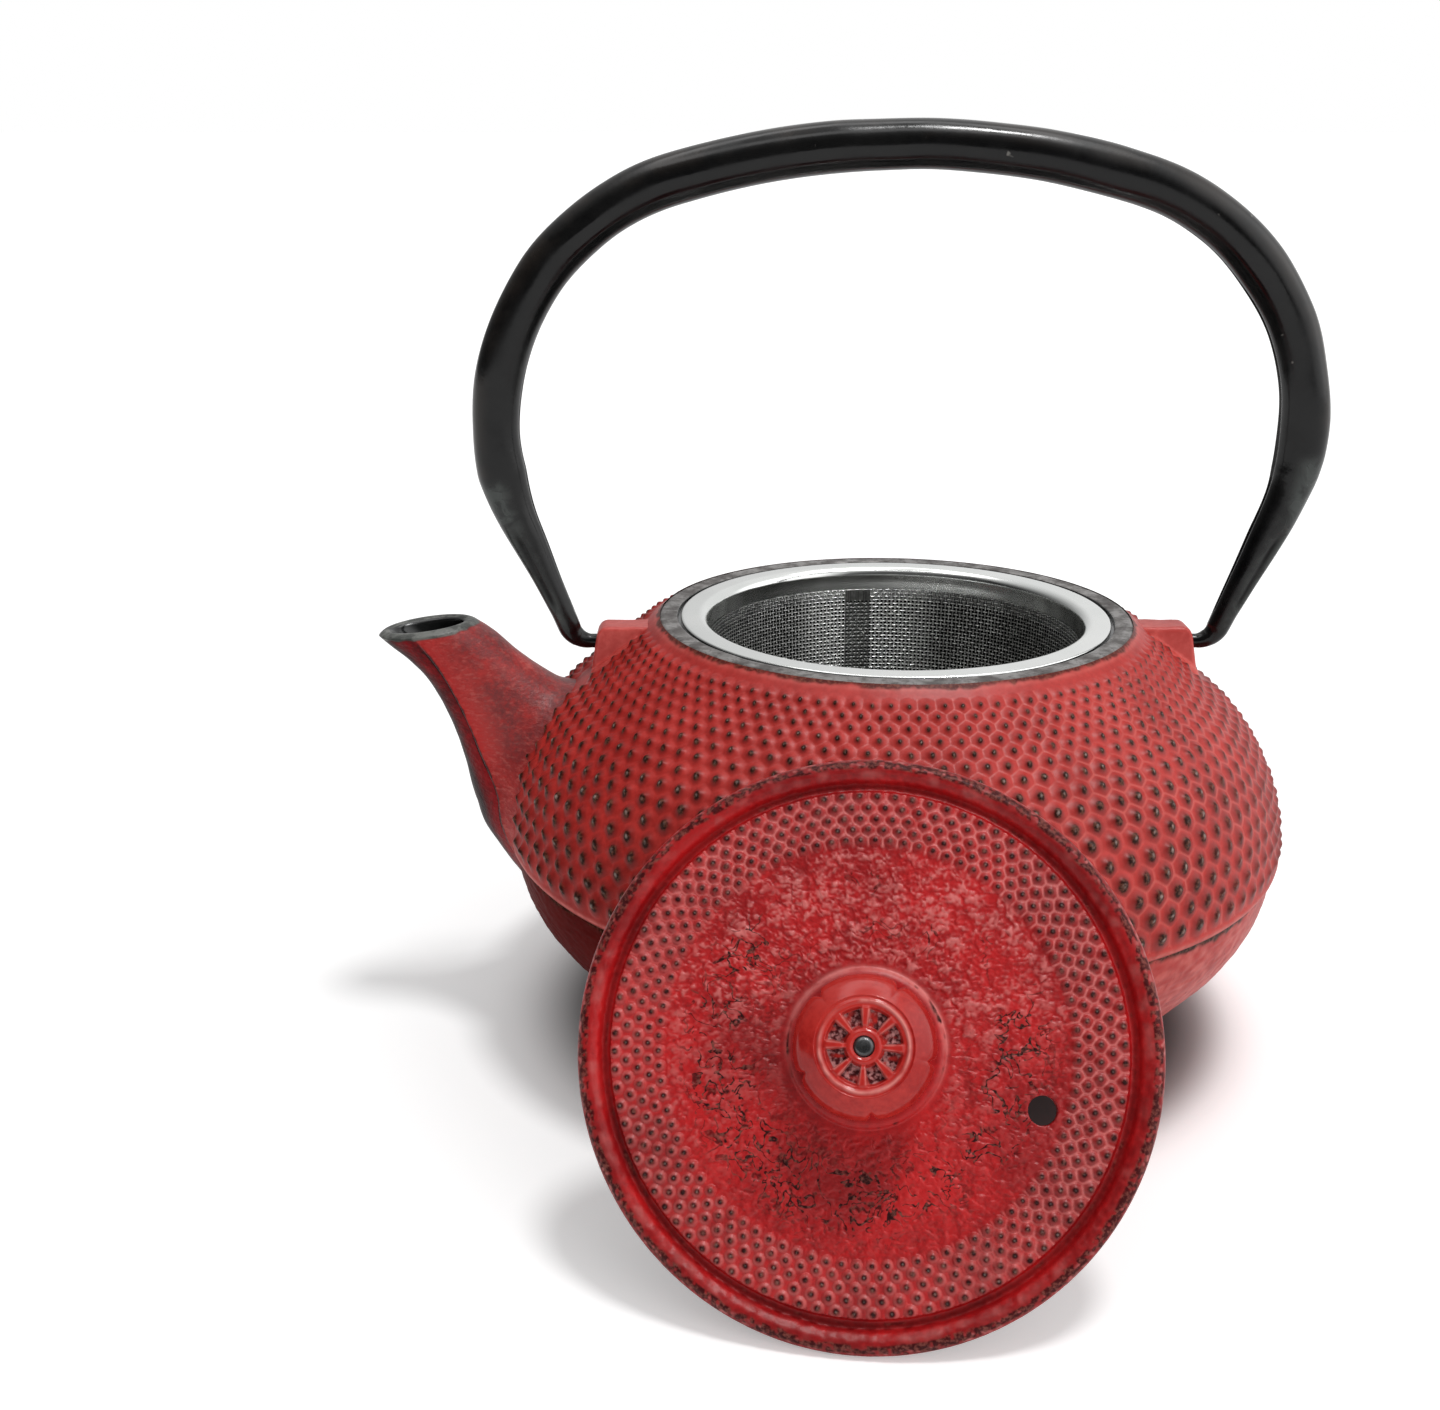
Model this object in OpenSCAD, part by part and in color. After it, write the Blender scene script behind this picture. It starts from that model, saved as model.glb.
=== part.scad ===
// Cast iron teapot with a lift-out infuser, a swinging bail and a lid.
// Millimetres. +Z is up, the foot's centre is the origin, the spout points
// along -X and the ears lie on the X axis. The lid is off and leans
// against the front (-Y) of the pot, on the same surface as the foot.

/* [Pot] */
// Height from the foot to the top of the mouth rim
pot_h = 75.5; // [72:0.5:82]
// Largest diameter of the belly, at the mould's parting line
belly_d = 137.6; // [132:0.2:146]
// Height of the parting line
belly_z = 37; // [33:0.5:40]
// Radius of the shoulder's curve in the side view
shoulder_r = 33.5; // [31:0.5:36]
// Turn of the shoulder's curve, from upright
shoulder_deg = 52; // [46:1:56]
// Radius of the lower bowl's curve in the side view
bowl_r = 24; // [21:0.5:27]
// Turn of the lower bowl's curve, from upright
bowl_deg = 41; // [37:1:45]
// How far the upper half stands out over the lower half
ledge = 0.8; // [0.4:0.1:1.4]
// Diameter of the flat foot
foot_d = 87; // [80:1:92]
// Thickness of the cast wall
wall = 3.2; // [2.6:0.1:3.8]
// Thickness of the floor
floor_t = 4; // [3:0.2:5]

/* [Mouth] */
// Outer diameter of the mouth's bare rim
mouth_d = 83; // [81:0.5:86]
// Inner diameter of the rim, where the infuser's flange drops in
seat_d = 76.6; // [76.2:0.1:78]
// Depth of the seat below the rim
seat_depth = 0.9; // [0.6:0.1:1.4]
// Width of the lip that carries the infuser's flange
seat_w = 3.5; // [2.6:0.1:4]
// Thickness of the seat's inward lip
lip_t = 2.6; // [2:0.2:3.2]

/* [Spout] */
// Reach of the spout's tip from the pot's axis
spout_reach = 91.4; // [88:0.2:96]
// Height of the spout's tip
tip_z = 71.6; // [68:0.2:73]
// Length of the outlet, along the spout's direction
outlet_l = 17.4; // [15:0.2:19]
// Width of the outlet, lips included
outlet_w = 13.8; // [12:0.2:16]
// Rise of the outlet from its tip to its heel
outlet_rise = 2.5; // [1:0.5:4]
// Width of the spout where it leaves the belly
spout_root_w = 38; // [34:1:42]
// Thickness of the spout's lip
spout_lip = 2.4; // [2:0.1:2.8]

/* [Ears] */
// Distance between the ears' outer faces, at the height of the pins
ear_span = 105.8; // [104:0.2:110]
// Width of an ear, front to back
ear_w = 6.2; // [5.4:0.2:8]
// How far the ears' flat tops lie below the rim
ear_drop = 1.8; // [0.8:0.1:2.2]
// Corner radius at the top outer edge of an ear
ear_corner = 1.6; // [1:0.2:2.4]
// Slant of the ears' outer faces from upright, wider at the foot
ear_slant = 10; // [0:1:14]
// How far the bail's pins lie below the ears' tops
pin_drop = 3.2; // [2.8:0.1:4]

/* [Bail] */
// Width of the bail, centre to centre at its widest
bail_w = 138.4; // [134:0.2:144]
// Radius of the bail's corners, at the centre line
bail_corner_r = 43; // [38:0.5:46]
// Half of the angle that the flat top spans
bail_top_deg = 16.2; // [14:0.2:18]
// Height of the bail's top above the foot, standing upright
bail_top = 159.2; // [154:0.2:166]
// Outer diameter of the rolled tube
tube_d = 8.4; // [7:0.1:9.4]
// Thickness of the rolled sheet
sheet_t = 0.8; // [0.6:0.1:1]
// Width of the open seam on the inner side of the tube
seam_w = 0.5; // [0.3:0.1:0.8]
// Length over which the legs taper
taper_l = 30; // [24:1:34]
// Diameter of the leg just above its hook
ankle_d = 3.9; // [3.6:0.1:4.4]
// Diameter of the hinge pins at the bail's ends
pin_d = 2.5; // [2:0.1:3]
// Radius of the bend from the leg into the pin
hook_r = 4; // [3.4:0.2:5]
// How far a pin reaches into its ear
pin_l = 6; // [5:0.2:7]
// Gap between the hook and the ear's outer face
hook_gap = 0.9; // [0.6:0.1:1.4]
// Radial clearance of the pins in the ears
pin_fit = 0.06; // [0.03:0.01:0.09]

/* [Infuser] */
// Clearance round the infuser's flange in the pot's seat
flange_gap = 0.55; // [0.3:0.05:0.8]
// Width of the flange, from its edge to the infuser's opening
flange_w = 4.75; // [4.5:0.05:5.5]
// Thickness of the flange
flange_t = 1; // [0.8:0.1:1.2]
// Thickness of the pressed sheet
press_t = 0.6; // [0.4:0.1:0.8]
// Height of the polished collar, below the flange's underside
collar_h = 5.4; // [4:0.2:7]
// Thickness of the woven mesh
mesh_t = 0.6; // [0.5:0.1:0.8]
// How far the mesh laps up behind the collar
mesh_lap = 2; // [1:0.2:3]
// Depth of the basket below the flange's underside
basket_depth = 48; // [40:1:56]
// How much narrower the basket is at its bottom than at its opening
basket_taper = 4; // [2:0.5:8]
// Height of the steel band round the basket's bottom
band_h = 4; // [3:0.2:6]
// Width of the lap seam in the mesh
seam_lap = 5; // [3:0.5:8]
// Direction of the seam round the basket, from the +X side
seam_at = 97; // [0:1:350]

/* [Lid] */
// Diameter of the lid
lid_d = 82; // [79:0.5:84]
// Thickness of the lid's rolled edge
lid_edge_t = 3.4; // [2.8:0.1:4]
// Thickness of the lid's plate at the bumps
lid_plate_t = 2.8; // [2.4:0.1:3.2]
// Rise of the lid's plate from the bumps to the centre
lid_crown = 1.2; // [0.6:0.1:2]
// Clearance round the lid's skirt in the infuser's opening
skirt_gap = 0.9; // [0.5:0.1:1.5]
// Depth of the skirt below the lid's edge
skirt_h = 7; // [5:0.5:9]
// Thickness of the skirt
skirt_t = 3; // [2:0.2:3.6]
// Width of the groove inside the rolled edge
groove_w = 1.6; // [1:0.1:2.2]
// Depth of the groove
groove_depth = 0.9; // [0.5:0.1:1.2]
// Diameter of the steam vent
vent_d = 4.1; // [3:0.1:5]
// Distance of the vent's edge from the inside of the skirt
vent_gap = 1.65; // [1:0.05:6]
// Direction of the vent, from the lid's right-hand side
vent_at = -16; // [-90:2:90]
// How far the lid leans back from upright
lid_lean = 30; // [24:1:34]
// Turn of the leaning lid round the pot, towards the spout
lid_turn = 7; // [0:1:10]
// Clearance between the leaning lid and the belly's bare surface
lean_gap = 0.9; // [0.4:0.1:1]

/* [Knob] */
// Diameter of the knob
knob_d = 20; // [18:0.2:22]
// Height of the knob above the lid's boss
knob_h = 10; // [9:0.2:12]
// Diameter of the knob's neck
knob_neck_d = 12.6; // [11:0.2:14]
// Diameter of the knob's flat top
knob_top_d = 13.6; // [12:0.2:15]
// Number of petals round the knob's edge
petals = 5; // [4:1:8]
// Direction of the first petal, from the lid's right-hand side
petal_at = 101; // [0:1:359]
// Number of pits in the knob's top
pits = 8; // [5:1:10]
// Depth of the pits
pit_depth = 1; // [0.5:0.1:1.5]
// Diameter of the boss under the knob
boss_d = 21.6; // [20:0.2:24]
// Height of the boss over the lid's crown
boss_h = 0.8; // [0.4:0.1:1.2]
// Diameter of the rivet that holds the knob
rivet_d = 3; // [2.4:0.1:3.6]
// Radial clearance of the rivet in the knob and the lid
rivet_fit = 0.05; // [0.02:0.01:0.1]
// Diameter of the washer under the lid
washer_d = 11; // [9:0.5:13]
// Thickness of the washer
washer_t = 1; // [0.8:0.1:1.4]
// Diameter of the rivet's set head, on the washer
rivet_head_d = 6.4; // [5:0.2:7]
// Height of the rivet's set head
rivet_head_h = 1.5; // [1:0.1:2]

/* [Hidden] */
$fn = 96;

red_paint = "#b83a3c";
black_paint = "#2b2a2a";
steel = "#c9cbc9";
dark_steel = "#55585a";

arc_steps = 14;      // straight pieces in a drawn curve
overlap = 0.5;       // how far a cut runs past a face

// ---- outline of the pot --------------------------------------------------

belly_r = belly_d / 2;
mouth_r = mouth_d / 2;
foot_r = foot_d / 2;
seat_z = pot_h - seat_depth;
upper_wall = wall + ledge;   // the upper half is thicker by the ledge
bowl_centre_r = belly_r - ledge - bowl_r;
shoulder_centre_r = belly_r - shoulder_r;

function polar(centre_r, centre_z, radius, angle) =
    [centre_r + radius * cos(angle), centre_z + radius * sin(angle)];

function arc(centre_r, centre_z, radius, from_deg, to_deg) =
    [for (i = [0 : arc_steps])
        polar(centre_r, centre_z, radius, from_deg + (to_deg - from_deg) * i / arc_steps)];

shoulder_end = polar(shoulder_centre_r, belly_z, shoulder_r, shoulder_deg);
bowl_end = polar(bowl_centre_r, belly_z, bowl_r, -bowl_deg);
shoulder_slope = (pot_h - shoulder_end[1]) / (shoulder_end[0] - mouth_r);
foot_slope = bowl_end[1] / (bowl_end[0] - foot_r);

// Height of the straight part of the shoulder at a radius
function shoulder_z(r) = pot_h - (r - mouth_r) * shoulder_slope;

// Radius of the pot's outer surface at a height
function pot_r(z) =
    z > pot_h || z < 0 ? 0
    : z > shoulder_end[1] ? mouth_r + (pot_h - z) / shoulder_slope
    : z >= belly_z ? shoulder_centre_r + sqrt(pow(shoulder_r, 2) - pow(z - belly_z, 2))
    : z > bowl_end[1] ? bowl_centre_r + sqrt(pow(bowl_r, 2) - pow(belly_z - z, 2))
    : foot_r + z / foot_slope;

// The inner surface keeps the wall's thickness from the outer one
inner_shoulder = polar(shoulder_centre_r, belly_z, shoulder_r - upper_wall, shoulder_deg);
inner_bowl = polar(bowl_centre_r, belly_z, bowl_r - wall, -bowl_deg);
throat_r = seat_d / 2 - seat_w;
lip_z = seat_z - lip_t;
lip_root_r = inner_shoulder[0] - (lip_z - inner_shoulder[1]) / shoulder_slope;

// ---- spout ---------------------------------------------------------------

tip = [-spout_reach, tip_z];
heel = tip + [outlet_l, outlet_rise];

// A point of the spout's side view, in shares of its reach out from the belly
// and of its height over the parting line
function beside_belly(out, up) =
    [-belly_r - out * (spout_reach - belly_r), belly_z + up * (tip_z - belly_z)];

// The lower and upper edges of the spout are Bezier curves in the XZ plane
lower_edge = [beside_belly(-0.177, -0.289), beside_belly(0.7, -0.09), beside_belly(0.012, 0.503), tip];
upper_edge = [beside_belly(-0.92, 0.63), beside_belly(-0.27, 0.715), beside_belly(-0.195, 0.885), heel];
spout_steps = 12;    // sections along the spout
spout_sides = 24;    // corners of a section
spout_flare = 2.2;   // how fast the spout narrows above its root

function bezier(p, t) =
    pow(1 - t, 3) * p[0] + 3 * pow(1 - t, 2) * t * p[1] + 3 * (1 - t) * t * t * p[2] + pow(t, 3) * p[3];

// Half of the spout's width, from the root at t = 0 to the outlet at t = 1
function spout_half_w(t) = outlet_w / 2 + (spout_root_w - outlet_w) / 2 * pow(1 - t, spout_flare);

// One section: an ellipse on the line between the two edges, less a skin
function spout_section(t, skin) =
    let (low = bezier(lower_edge, t), high = bezier(upper_edge, t), middle = (low + high) / 2,
        along = (high - low) / norm(high - low),
        a = norm(high - low) / 2 - skin, b = spout_half_w(t) - skin)
    [for (i = [0 : spout_sides - 1]) let (turn = 360 * i / spout_sides)
        [middle[0] + along[0] * a * cos(turn), b * sin(turn), middle[1] + along[1] * a * cos(turn)]];

// The triangles of a skin over rings that all have the same number of points
function skin_faces(rings, n) =
    [for (k = [0 : rings - 2], i = [0 : n - 1]) let (j = (i + 1) % n)
        each [[k * n + i, (k + 1) * n + j, k * n + j], [k * n + i, (k + 1) * n + i, (k + 1) * n + j]]];

module loft(rings) {
    n = len(rings[0]);
    last = (len(rings) - 1) * n;
    caps = [[for (i = [0 : n - 1]) i], [for (i = [n - 1 : -1 : 0]) last + i]];
    polyhedron(points = [for (ring = rings) each ring], faces = concat(skin_faces(len(rings), n), caps));
}

module spout_outside() {
    loft([for (k = [0 : spout_steps]) spout_section(k / spout_steps, 0)]);
}

// The bore runs a little past the outlet, so that it cuts it open
module spout_bore() {
    out_of_spout = [-outlet_rise, 0, outlet_l] / norm([outlet_rise, outlet_l]) * overlap;
    rings = [for (k = [0 : spout_steps]) let (t = k / spout_steps)
        spout_section(t, wall + (spout_lip - wall) * t)];
    loft(concat(rings, [[for (p = spout_section(1, spout_lip)) p + out_of_spout]]));
}

// ---- pot -----------------------------------------------------------------

ear_x = ear_span / 2;
ear_top = pot_h - ear_drop;
ear_root_r = mouth_r - 1;    // the ears start inside the rim
pin_z = ear_top - pin_drop;
bore_end_gap = 0.5;          // room beyond a pin's inner end

module pot_outside() {
    rotate_extrude() polygon(concat(
        [[0, 0], [foot_r, 0]],
        arc(bowl_centre_r, belly_z, bowl_r, -bowl_deg, 0),
        arc(shoulder_centre_r, belly_z, shoulder_r, 0, shoulder_deg),
        [[mouth_r, pot_h], [0, pot_h]]));
}

module pot_inside() {
    rotate_extrude() polygon(concat(
        [[0, floor_t], [inner_bowl[0] - (inner_bowl[1] - floor_t) / foot_slope, floor_t]],
        arc(bowl_centre_r, belly_z, bowl_r - wall, -bowl_deg, 0),
        arc(shoulder_centre_r, belly_z, shoulder_r - upper_wall, 0, shoulder_deg),
        [[lip_root_r, lip_z], [throat_r, lip_z], [throat_r, seat_z], [seat_d / 2, seat_z],
            [seat_d / 2, pot_h + overlap], [0, pot_h + overlap]]));
}

// Distance of an ear's outer face from the pot's axis at a height
function ear_face_x(z) = ear_x + (pin_z - z) * tan(ear_slant);

// Both ears at once would be mirror images, so one is drawn and turned
module ear() {
    foot_z = shoulder_z(ear_x) - upper_wall / 2;
    corner_x = ear_face_x(ear_top - ear_corner + ear_corner * sin(ear_slant)) - ear_corner * cos(ear_slant);
    rotate([90, 0, 0]) translate([0, 0, -ear_w / 2]) linear_extrude(ear_w) polygon(concat(
        [[ear_root_r, shoulder_z(ear_root_r) - upper_wall / 2], [ear_face_x(foot_z), foot_z]],
        arc(corner_x, ear_top - ear_corner, ear_corner, ear_slant, 90),
        [[ear_root_r, ear_top]]));
}

module pin_bore() {
    translate([ear_x - pin_l - bore_end_gap, 0, pin_z]) rotate([0, 90, 0])
        cylinder(h = pin_l + bore_end_gap + overlap, d = pin_d + 2 * pin_fit);
}

module pot_body() {
    color(red_paint) difference() {
        union() {
            pot_outside();
            spout_outside();
            for (turn = [0, 180]) rotate([0, 0, turn]) ear();
        }
        pot_inside();
        spout_bore();
        for (turn = [0, 180]) rotate([0, 0, turn]) pin_bore();
    }
}

// ---- bail ----------------------------------------------------------------

tube_r = tube_d / 2;
ankle_r = ankle_d / 2;
pin_r = pin_d / 2;
hook = [ear_x + hook_gap, pin_z + hook_r];    // centre of the hook's bend
bail_top_z = bail_top - tube_r;
bail_top_r = (bail_w / 2 - bail_corner_r * (1 - sin(bail_top_deg))) / sin(bail_top_deg);
corner = [(bail_top_r - bail_corner_r) * sin(bail_top_deg),
    bail_top_z - bail_top_r + (bail_top_r - bail_corner_r) * cos(bail_top_deg)];
// The leg runs straight along the line that touches the corner and the hook
reach = hook - corner;
leg_deg = 90 - atan2(reach[1], reach[0]) - acos((bail_corner_r - hook_r) / norm(reach));
leg_l = sqrt(pow(norm(reach), 2) - pow(bail_corner_r - hook_r, 2));
top_steps = 6;       // sections in half of the top
corner_steps = 16;   // sections in a corner
leg_steps = 6;       // sections in a leg
hook_steps = 6;      // sections in a hook
tube_sides = 16;     // faces round the tube

// A point on a bend, at an angle from straight up
function on_bend(centre, radius, angle) = centre + radius * [sin(angle), cos(angle)];

function tube_r_at(distance) = ankle_r + (tube_r - ankle_r) * min(1, distance / taper_l);

// Stations from the middle of the top down the right leg: centre, heading, radius
stations = concat(
    [for (i = [0 : top_steps]) let (a = bail_top_deg * i / top_steps)
        [on_bend([0, bail_top_z - bail_top_r], bail_top_r, a), a, tube_r]],
    [for (i = [1 : corner_steps]) let (a = bail_top_deg + (leg_deg - bail_top_deg) * i / corner_steps)
        [on_bend(corner, bail_corner_r, a), a, tube_r_at(leg_l + bail_corner_r * (leg_deg - a) * PI / 180)]],
    [for (i = [1 : leg_steps]) let (rest = leg_l * (1 - i / leg_steps))
        [on_bend(hook, hook_r, leg_deg) + rest * [-cos(leg_deg), sin(leg_deg)], leg_deg, tube_r_at(rest)]]);

// A point beside a station: turn is measured from the outer side of the bail
function beside(station, radius, turn) =
    let (p = station[0] + radius * cos(turn) * [sin(station[1]), cos(station[1])])
    [p[0], radius * sin(turn), p[1]];

function mirrored(station) = [[-station[0][0], station[0][1]], -station[1], station[2]];

// The open section of the rolled tube, its seam on the inner side of the bail
function rolled_ring(station) =
    let (outer = station[2], inner = station[2] - sheet_t,
        outer_end = 180 - asin(seam_w / 2 / outer), inner_end = 180 - asin(seam_w / 2 / inner))
    concat([for (i = [0 : tube_sides]) beside(station, outer, outer_end * (1 - 2 * i / tube_sides))],
        [for (i = [tube_sides : -1 : 0]) beside(station, inner, inner_end * (1 - 2 * i / tube_sides))]);

module rolled_tube() {
    whole = concat([for (i = [len(stations) - 1 : -1 : 1]) mirrored(stations[i])], stations);
    n = 2 * tube_sides + 2;
    last = (len(whole) - 1) * n;
    polyhedron(points = [for (station = whole) each rolled_ring(station)],
        faces = concat(
            [for (face = skin_faces(len(whole), n)) face],
            [for (i = [0 : tube_sides - 1]) [i, i + 1, n - 2 - i, n - 1 - i]],
            [for (i = [0 : tube_sides - 1]) [last + n - 1 - i, last + n - 2 - i, last + i + 1, last + i]]));
}

// A solid end: a plug in the ankle, the bend, and a round pin
module hook_end() {
    plug_l = 2;
    plug_r = ankle_r - sheet_t / 2;
    foot_of_leg = stations[len(stations) - 1];
    up_leg = [foot_of_leg[0] + plug_l * [-cos(leg_deg), sin(leg_deg)], leg_deg, plug_r];
    bend = [for (i = [0 : hook_steps]) let (a = leg_deg + (180 - leg_deg) * i / hook_steps)
        [on_bend(hook, hook_r, a), a, ankle_r + (pin_r - ankle_r) * i / hook_steps]];
    loft([for (station = concat([up_leg, [foot_of_leg[0], leg_deg, plug_r]], bend))
        [for (i = [0 : tube_sides - 1]) beside(station, station[2], -360 * i / tube_sides)]]);
    translate([ear_x - pin_l, 0, pin_z]) rotate([0, 90, 0]) cylinder(h = pin_l + hook_gap, r = pin_r);
}

module bail() {
    color(black_paint) union() {
        rolled_tube();
        for (turn = [0, 180]) rotate([0, 0, turn]) hook_end();
    }
}

// ---- infuser -------------------------------------------------------------

joined = 0.05;       // clearance between the infuser's joined sheets
flange_r = seat_d / 2 - flange_gap;
opening_r = flange_r - flange_w;
collar_z = seat_z - collar_h;
basket_z = seat_z - basket_depth;
mesh_top_r = opening_r - joined;
mesh_low_r = opening_r - basket_taper / 2;
wall_foot_z = basket_z + press_t;
band_z = basket_z + band_h;
band_r = mesh_low_r + joined + (mesh_top_r - mesh_low_r) * band_h / (collar_z - wall_foot_z);
band_lip = 5;        // how far the band turns in under the floor
flange_round = 0.7 * flange_t;

module infuser_rim() {
    color(steel) rotate_extrude() polygon(concat(
        [[opening_r, collar_z], [opening_r + press_t, collar_z], [opening_r + press_t, seat_z],
            [flange_r, seat_z], [flange_r, seat_z + flange_t - flange_round / 2],
            [flange_r - flange_round / 2, seat_z + flange_t]],
        arc(opening_r + flange_round, seat_z + flange_t - flange_round, flange_round, 90, 180)));
}

module infuser_mesh_wall() {
    color(steel) rotate_extrude() polygon([
        [mesh_low_r, wall_foot_z], [mesh_top_r, collar_z], [mesh_top_r, collar_z + mesh_lap],
        [mesh_top_r - mesh_t, collar_z + mesh_lap], [mesh_top_r - mesh_t, collar_z],
        [mesh_low_r - mesh_t, wall_foot_z]]);
}

module infuser_mesh_floor() {
    color(steel) translate([0, 0, wall_foot_z])
        cylinder(h = mesh_t, r = mesh_low_r - mesh_t - joined);
}

module infuser_bottom_band() {
    color(steel) difference() {
        translate([0, 0, basket_z]) cylinder(h = band_h, r = band_r + press_t);
        translate([0, 0, wall_foot_z]) cylinder(h = band_h, r = band_r);
        translate([0, 0, basket_z - overlap]) cylinder(h = band_h, r = mesh_low_r - band_lip);
    }
}

// The strip stands on the band's top edge and follows the wall's taper
module infuser_seam() {
    taper = (mesh_top_r - mesh_low_r) / (collar_z - wall_foot_z);
    strip_t = press_t / 2;
    low_r = mesh_low_r + taper * (band_z - wall_foot_z) + joined;
    high_z = collar_z - 2 * joined;
    high_r = mesh_low_r + taper * (high_z - wall_foot_z) + joined;
    seam_deg = seam_lap / mesh_top_r * 180 / PI;
    color(dark_steel) rotate([0, 0, seam_at - seam_deg / 2]) rotate_extrude(angle = seam_deg) polygon([
        [low_r, band_z], [low_r + strip_t, band_z], [high_r + strip_t, high_z], [high_r, high_z]]);
}

// ---- lid -----------------------------------------------------------------

// The lid is drawn lying flat, its edge on z = 0, and then leant on the pot
lid_r = lid_d / 2;
bead_r = lid_edge_t / 2;
skirt_r = opening_r - skirt_gap;
vent_r = skirt_r - skirt_t - vent_gap - vent_d / 2;
crown_z = lid_plate_t + lid_crown;
boss_top = crown_z + boss_h;
boss_r = boss_d / 2;
groove_out = lid_r - lid_edge_t;
groove_in = groove_out - groove_w;
groove_z = lid_plate_t - groove_depth;
groove_draft = 0.3;                  // slant of the groove's sides
seat_flat_r = washer_d / 2 + 1;      // flat ground under the washer

// The lid's lowest point rests on the ground; then the skirt or the edge
// meets the shoulder. Each circle is [radius, height] on the lid.
lid_lift = (lid_r - bead_r) * cos(lid_lean) - bead_r * sin(lid_lean) + bead_r;
touch_circles = [[skirt_r, -skirt_h], [lid_r - bead_r, 0], [lid_r, bead_r]];
touch_step = 5;      // degrees between the points that are tried
lid_back = min([for (c = touch_circles, a = [0 : touch_step : 360 - touch_step]) let (
    x = c[0] * cos(a), v = c[0] * sin(a), z = lid_lift + v * cos(lid_lean) + c[1] * sin(lid_lean),
    near = z > pot_h ? 0 : pot_r(z) + lean_gap, y = near > abs(x) ? -sqrt(near * near - x * x) : 0)
    y - v * sin(lid_lean) + c[1] * cos(lid_lean)]);

module leaning() {
    rotate([0, 0, -lid_turn]) translate([0, lid_back, lid_lift]) rotate([90 - lid_lean, 0, 0]) children();
}

module rivet_hole(from_z, to_z) {
    translate([0, 0, from_z]) cylinder(h = to_z - from_z, r = rivet_d / 2 + rivet_fit);
}

module lid_plate() {
    color(red_paint) leaning() difference() {
        union() {
            rotate_extrude() polygon(concat(
                [[0, lid_crown], [seat_flat_r, lid_crown], [skirt_r - skirt_t, 0],
                    [skirt_r - skirt_t, -skirt_h], [skirt_r, -skirt_h], [skirt_r, 0], [lid_r - bead_r, 0]],
                arc(lid_r - bead_r, bead_r, bead_r, -90, 90),
                arc(lid_r - bead_r, bead_r, bead_r, 90, 150),
                [[groove_out - groove_draft, groove_z], [groove_in + groove_draft, groove_z],
                    [groove_in, lid_plate_t], [boss_r, crown_z], [boss_r, boss_top], [0, boss_top]]));
        }
        rivet_hole(lid_crown - overlap, boss_top + overlap);
        rotate([0, 0, vent_at]) translate([vent_r, 0, -overlap])
            cylinder(h = boss_top + 2 * overlap, d = vent_d);
    }
}

// ---- knob ----------------------------------------------------------------

knob_r = knob_d / 2;
knob_top_r = knob_top_d / 2;
knob_top = boss_top + knob_h;
knob_wide = boss_top + 0.6 * knob_h;     // height of the widest part
petal_centre_r = 0.34 * knob_r;
ring_w = 0.7;        // width of the thin ring round the knob's top
ring_h = 0.3;
pit_out = knob_top_r - ring_w - 0.6;
pit_in = rivet_d / 2 + 1.2;
pit_share = 0.62;    // part of the circle that the pits take

module petal_outline() {
    for (i = [0 : petals - 1]) rotate([0, 0, petal_at + 360 * i / petals])
        translate([petal_centre_r, 0]) circle(r = knob_r - petal_centre_r);
}

module knob() {
    neck_r = knob_neck_d / 2;
    edge = 1.2;      // half the height of the knob's widest band
    pit_deg = 360 / pits * pit_share;
    color(red_paint) leaning() difference() {
        intersection() {
            rotate_extrude() polygon([[0, boss_top], [neck_r + 1, boss_top], [neck_r, boss_top + 1],
                [neck_r + 0.4, boss_top + 2.2], [knob_r - 1.2, knob_wide - 2], [knob_r, knob_wide - edge],
                [knob_r, knob_wide + edge / 2], [knob_r - 0.8, knob_wide + 2],
                [knob_top_r + 0.2, knob_top - 0.5], [knob_top_r, knob_top], [knob_top_r - ring_w, knob_top],
                [knob_top_r - ring_w, knob_top - ring_h], [0, knob_top - ring_h]]);
            translate([0, 0, boss_top]) linear_extrude(knob_h) petal_outline();
        }
        for (i = [0 : pits - 1]) rotate([0, 0, 360 * i / pits - pit_deg / 2])
            translate([0, 0, knob_top - ring_h - pit_depth]) rotate_extrude(angle = pit_deg)
                translate([pit_in, 0]) square([pit_out - pit_in, pit_depth + overlap]);
        rivet_hole(boss_top - overlap, knob_top + overlap);
    }
}

washer_z = lid_crown - washer_t;

module knob_washer() {
    color(dark_steel) leaning() difference() {
        translate([0, 0, washer_z]) cylinder(h = washer_t, d = washer_d);
        rivet_hole(washer_z - overlap, lid_crown + overlap);
    }
}

module knob_rivet() {
    dome = 0.5;      // height of the rivet's rounded top end
    shank_top = knob_top - ring_h;
    color(dark_steel) leaning() rotate_extrude() polygon([
        [0, washer_z - rivet_head_h], [rivet_head_d / 3, washer_z - rivet_head_h],
        [rivet_head_d / 2, washer_z - rivet_head_h / 2], [rivet_head_d / 2, washer_z],
        [rivet_d / 2, washer_z], [rivet_d / 2, shank_top], [rivet_d / 3, shank_top + dome * 0.7],
        [0, shank_top + dome]]);
}

// ---- the whole thing -----------------------------------------------------

pot_body();
bail();
infuser_rim();
infuser_mesh_wall();
infuser_mesh_floor();
infuser_bottom_band();
infuser_seam();
lid_plate();
knob();
knob_rivet();
knob_washer();
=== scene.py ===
"""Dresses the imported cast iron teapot: pot, spout, ears, bail, infuser and lid."""
import math

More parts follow.
